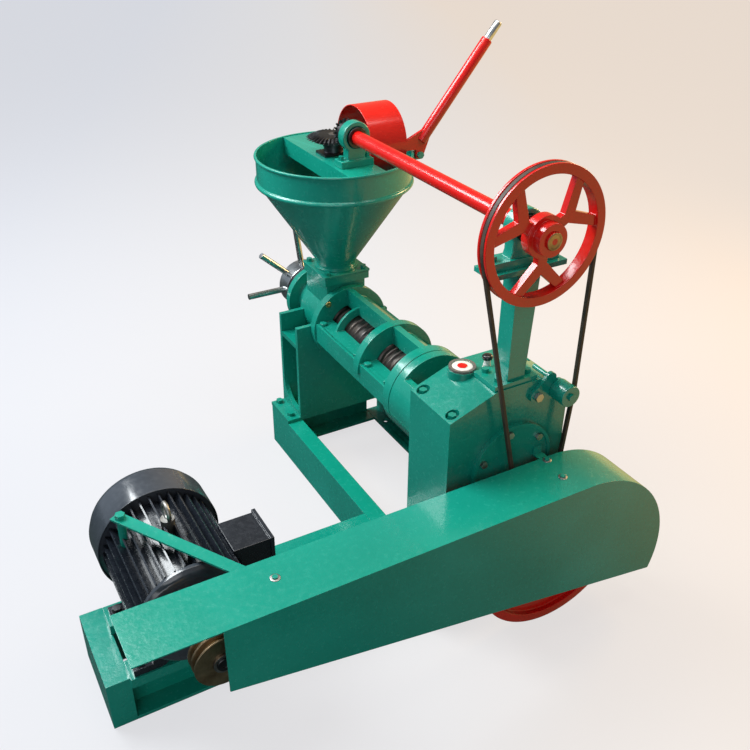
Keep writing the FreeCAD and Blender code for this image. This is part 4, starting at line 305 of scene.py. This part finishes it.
def turned(name, profile, centre, axis, material, body="frame"):
    """Turned piece: profile is (radius, height) in mm from the axis out and back, height along axis."""
    along = Vector(axis).normalized()
    across = along.orthogonal().normalized()
    beside = along.cross(across)
    bm = bmesh.new()
    rows = []
    for radius, height in profile:
        row = []
        for k in range(TURN_STEPS):
            a = 2 * math.pi * k / TURN_STEPS
            out = across * math.cos(a) + beside * math.sin(a)
            row.append(bm.verts.new((out * radius + along * height) * MM))
        rows.append(row)
    for low, high in zip(rows, rows[1:]):
        for k in range(TURN_STEPS):
            n = (k + 1) % TURN_STEPS
            bm.faces.new((low[k], low[n], high[n], high[k]))
    bmesh.ops.remove_doubles(bm, verts=bm.verts, dist=0.00001)
    bmesh.ops.recalc_face_normals(bm, faces=bm.faces)
    mesh = bpy.data.meshes.new(name)
    bm.to_mesh(mesh)
    bm.free()
    for polygon in mesh.polygons:
        polygon.use_smooth = True
    obj = bpy.data.objects.new(name, mesh)
    bpy.context.scene.collection.objects.link(obj)
    obj.location = Vector(centre)
    obj.data.materials.append(material)
    edge = obj.modifiers.new("edge", "BEVEL")
    edge.width = 0.0004
    edge.segments = 2
    edge.angle_limit = math.radians(30.0)
    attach(obj, body)
    return obj


def middle(node_name):
    low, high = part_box(node_name)
    return (low + high) / 2


def sight_parts():
    """White dial with a raised red eye under the window of the cover."""
    low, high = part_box("sight_glass")
    x, y = (low.x + high.x) / 2, (low.y + high.y) / 2
    seat = high.z - 0.002
    turned("sight_dial", [(0, 0), (20.5, 0), (20.5, 0.8), (11.0, 1.2), (0, 1.2)], (x, y, seat), (0, 0, 1),
           IVORY)
    turned("sight_eye", [(0, 0), (10.0, 0), (10.0, 0.8), (6.0, 1.7), (0, 2.0)], (x, y, seat + 0.0012),
           (0, 0, 1), RED)


def shaft_ends():
    """Turned ends of the feed shaft and the motor shaft, seen in the middle of their pulleys."""
    low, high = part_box("feed_shaft")
    centre = (low + high) / 2
    turned("feed_shaft_end", [(0, -0.5), (15.8, -0.5), (15.8, 0.4), (13.0, 1.2), (11.5, 0.2), (6.0, 0.2),
                              (5.0, -0.4), (0, -0.4)], (centre.x, low.y, centre.z), (0, -1, 0), STAINED,
           "feed_drive")
    centre = middle("motor_pulley")
    turned("motor_shaft_end", [(0, -1), (14.0, -1), (14.0, 2.0), (12.5, 3.0), (7.0, 3.0), (6.0, 1.5),
                               (0, 1.5)], (centre.x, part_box("motor_rotor")[0].y, centre.z), (0, -1, 0), DARK,
           "rotor")


def breather_parts():
    """Pale threaded base and dark round cap in place of the plain breather."""
    low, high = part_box("breather")
    x, y = (low.x + high.x) / 2, (low.y + high.y) / 2
    base = turned("breather_base", [(0, 0), (9.0, 0), (9.0, 2.2), (7.6, 3.0), (8.2, 4.2), (7.6, 5.4), (8.2, 6.6),
                                    (7.6, 7.8), (8.2, 9.0), (7.0, 10.5), (6.4, 19.6), (0, 19.6)], (x, y, low.z),
                  (0, 0, 1), IVORY)
    cap = turned("breather_top", [(0, 0), (8.0, 0), (10.4, 0.8), (10.9, 3.0), (10.8, 6.0), (9.0, 8.8),
                                  (5.0, 10.6), (0, 11.0)], (x, y, high.z - 0.0112), (0, 0, 1), CAP)
    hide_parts("breather")
    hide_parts("breather")


def guard_washers():
    """Plain washers under the screws of the guard's top sheet."""
    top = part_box("belt_guard")[1].z
    for k, (x, y) in enumerate(((0.069, -0.446), (0.061, -0.504), (-0.535, -0.486))):
        turned("guard_washer_%d" % k, [(3.2, 0.05), (9.0, 0.05), (9.4, 0.5), (9.0, 1.1), (3.2, 1.2)],
               (x, y, top), (0, 0, 1), BOLT)


def press_plug():
    """Pale screw plug in the face of the feed collar."""
    low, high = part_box("press_body_upper")
    turned("collar_plug", [(0, -0.5), (7.5, -0.5), (8.0, 1.5), (6.8, 2.6), (2.6, 2.6), (2.2, 1.2), (0, 1.2)],
           (-0.052, high.y - 0.022, 0.4485), (0, -1, 0), BRASS)


def extruded_plate(name, corners, y0, y1, material, body):
    """Flat plate over a list of (x, z) corners in metres."""
    bm = bmesh.new()
    front = [bm.verts.new((x, y0, z)) for x, z in corners]
    back = [bm.verts.new((x, y1, z)) for x, z in corners]
    bm.faces.new(front)
    bm.faces.new(list(reversed(back)))
    for k in range(len(corners)):
        n = (k + 1) % len(corners)
        bm.faces.new((front[k], back[k], back[n], front[n]))
    bmesh.ops.recalc_face_normals(bm, faces=bm.faces)
    mesh = bpy.data.meshes.new(name)
    bm.to_mesh(mesh)
    bm.free()
    obj = bpy.data.objects.new(name, mesh)
    bpy.context.scene.collection.objects.link(obj)
    obj.data.materials.append(material)
    edge = obj.modifiers.new("edge", "BEVEL")
    edge.width = 0.0010
    edge.segments = 2
    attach(obj, body)
    return obj


LEVER_LEAN = math.radians(39.2)
LEVER_START = 27.0
LEVER_END = 305.0
LEVER_TIP_END = 352.0


def lever_parts():
    """Hand lever at its full look: hinge plate, painted tube with a rolled end, bare steel tip."""
    joint = next(j for j in frame["record"]["behaviour"]["joints"] if j["name"] == "guard_lift")
    pin_x, y, pin_z = joint["pos_m"]
    d = Vector((math.sin(LEVER_LEAN), 0.0, math.cos(LEVER_LEAN)))
    axis0 = Vector((pin_x, y, pin_z)) + Vector((-d.z, 0.0, d.x)) * 17.0 * MM
    tube = turned("lever_tube", [(10.6, LEVER_START), (13.2, LEVER_START), (13.5, LEVER_START + 0.6),
                                 (13.5, LEVER_END - 3.0), (13.1, LEVER_END - 0.6), (12.2, LEVER_END),
                                 (0, LEVER_END), (0, LEVER_END - 4.0), (10.6, LEVER_END - 6.0)],
                  axis0, d, RED, "guard_lever")
    tip = turned("lever_grip", [(0, LEVER_END - 2.0), (9.5, LEVER_END - 2.0), (9.5, LEVER_TIP_END - 2.2),
                                (9.1, LEVER_TIP_END - 0.8), (7.8, LEVER_TIP_END), (4.2, LEVER_TIP_END),
                                (3.6, LEVER_TIP_END - 1.4), (0, LEVER_TIP_END - 1.4)],
                 axis0, d, STEEL, "guard_lever")
    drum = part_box("gear_guard")
    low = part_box("hopper")[1].z + 5.0 * MM
    weld = axis0 + d * (LEVER_START + 24.0) * MM
    start = drum[1].x - 1.0 * MM
    mm = MM
    plate = extruded_plate("lever_plate", [
        (start, low), (pin_x - 10 * mm, low), (pin_x - 10 * mm, pin_z - 7 * mm), (pin_x - 5 * mm, pin_z - 11 * mm),
        (pin_x + 6 * mm, pin_z - 11 * mm), (pin_x + 11 * mm, pin_z - 4 * mm), (weld.x + 10 * mm, weld.z - 8 * mm),
        (weld.x - 8 * mm, weld.z + 10 * mm), (start, low + 26 * mm)], y - 4 * mm, y + 4 * mm, RED,
        "guard_lever")
    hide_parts("lever")
    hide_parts("lever")
    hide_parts("lever_tip")


lever_parts()
sight_parts()
shaft_ends()
breather_parts()
guard_washers()
press_plug()


# ---------------------------------------------------------------- floor, light and camera
FLOOR_GLOW = 0.85
FLOOR_FILL = (0.20, 0.22, 0.23)


def floor():
    bm = bmesh.new()
    bmesh.ops.create_grid(bm, x_segments=2, y_segments=2, size=14.0)
    mesh = bpy.data.meshes.new("floor")
    bm.to_mesh(mesh)
    bm.free()
    obj = bpy.data.objects.new("floor", mesh)
    bpy.context.scene.collection.objects.link(obj)
    mat, nt, bsdf = new_material("studio_floor")
    tex = node(nt, "TexCoord")
    sep = node(nt, "SeparateXYZ", {"Vector": tex.outputs["Object"]})
    along = math_node(nt, "ADD", math_node(nt, "MULTIPLY", sep.outputs[0], 0.80),
                      math_node(nt, "MULTIPLY", sep.outputs[1], -0.35))
    painted_light_sweep = remap(nt, along, -1.3, 1.3, 0.0, 1.0)
    # Seen by the camera the floor is pale and evenly bright, with painted light on it: cool blue-grey toward the
    # upper left and warm peach toward the lower right, in both its colour and its glow. For all other rays its
    # diffuse colour is the dark FLOOR_FILL grey, which cuts the light it bounces onto the machine.
    colour = ramp(nt, painted_light_sweep, [(0.0, (0.72, 0.75, 0.82)), (0.5, (0.82, 0.81, 0.81)), (1.0, (0.90, 0.74, 0.58))])
    glow_with_painted_light = ramp(nt, painted_light_sweep, [(0.0, (0.76, 0.78, 0.84)), (0.5, (0.82, 0.81, 0.82)), (1.0, (0.90, 0.79, 0.70))])
    seen = node(nt, "LightPath")
    base = mix_colour(nt, seen.outputs["Is Camera Ray"], FLOOR_FILL, colour)
    set_inputs(nt, bsdf, {"Base Color": base, "Roughness": 0.55, "Specular IOR Level": 0.2})
    lit = node(nt, "Emission", {"Color": glow_with_painted_light, "Strength": 1.0})
    share = math_node(nt, "MULTIPLY", seen.outputs["Is Camera Ray"], FLOOR_GLOW)
    plain = node(nt, "MixShader", {0: share, 1: bsdf.outputs[0], 2: lit.outputs[0]})
    # Painted reflection: glossy rays see the floor glowing, dark green-grey on the left and golden toward the
    # lower right, which paints warm highlights on the machine's right-facing faces.
    painted_reflection_colour = ramp(nt, painted_light_sweep, [(0.50, (0.050, 0.070, 0.070)), (0.64, (0.24, 0.20, 0.10)),
                             (0.84, (1.0, 0.72, 0.28))])
    painted_reflection = node(nt, "Emission", {"Color": painted_reflection_colour, "Strength": 1.0})
    blend = node(nt, "MixShader", {0: seen.outputs["Is Glossy Ray"], 1: plain.outputs[0],
                                   2: painted_reflection.outputs[0]})
    out = next(n for n in nt.nodes if n.type == "OUTPUT_MATERIAL")
    nt.links.new(blend.outputs[0], out.inputs[0])
    obj.data.materials.append(mat)


def area_light(name, place, target, size, power, colour):
    data = bpy.data.lights.new(name, "AREA")
    data.shape = "RECTANGLE"
    data.size, data.size_y = size
    data.energy = power
    data.color = colour
    obj = bpy.data.objects.new(name, data)
    bpy.context.scene.collection.objects.link(obj)
    obj.location = place
    obj.rotation_euler = (Vector(target) - Vector(place)).to_track_quat("-Z", "Y").to_euler()
    return obj


def studio():
    world = bpy.data.worlds.new("studio")
    bpy.context.scene.world = world
    world.use_nodes = True
    background = world.node_tree.nodes["Background"]
    nt = world.node_tree
    side = node(nt, "SeparateXYZ", {"Vector": node(nt, "TexCoord").outputs["Generated"]}).outputs[0]
    sky = ramp(nt, remap(nt, side, -1.0, 1.0, 0.0, 1.0),
               [(0.10, (0.62, 0.74, 0.86)), (0.55, (0.30, 0.33, 0.35)), (0.95, (1.0, 0.70, 0.36))])
    nt.links.new(sky, background.inputs[0])
    background.inputs[1].default_value = 0.50
    area_light("key", (-1.5, 1.4, 2.7), (0.0, 0.0, 0.4), (1.7, 1.7), 150.0, (0.93, 0.98, 1.0))
    area_light("top", (0.1, -0.1, 3.0), (0.0, 0.0, 0.4), (1.2, 2.4), 42.0, (1.0, 0.97, 0.92))
    area_light("front", (-1.7, -2.5, 1.3), (0.0, -0.2, 0.4), (1.6, 1.6), 17.0, (0.97, 0.98, 1.0))
    area_light("warm", (2.1, 0.1, 1.5), (0.1, -0.1, 0.4), (0.7, 0.9), 38.0, (1.0, 0.66, 0.30))


def camera():
    """Stands left and in front of the machine and looks down along the press."""
    yaw, pitch, roll = math.radians(29.6), math.radians(31.0), math.radians(0.4)
    forward = Vector((math.sin(yaw) * math.cos(pitch), math.cos(yaw) * math.cos(pitch), -math.sin(pitch)))
    right = Vector((math.cos(yaw), -math.sin(yaw), 0.0))
    up = right.cross(forward)
    right2 = right * math.cos(roll) + up * math.sin(roll)
    up2 = up * math.cos(roll) - right * math.sin(roll)
    data = bpy.data.cameras.new("camera")
    data.sensor_width = 36.0
    data.lens = 42.24
    data.clip_start = 0.05
    obj = bpy.data.objects.new("camera", data)
    bpy.context.scene.collection.objects.link(obj)
    basis = Matrix((right2, up2, -forward)).transposed()
    obj.matrix_world = Matrix.Translation((-0.925, -1.503, 1.431)) @ basis.to_4x4()
    bpy.context.scene.camera = obj


floor()
studio()
camera()
bpy.context.scene.view_settings.view_transform = "Standard"
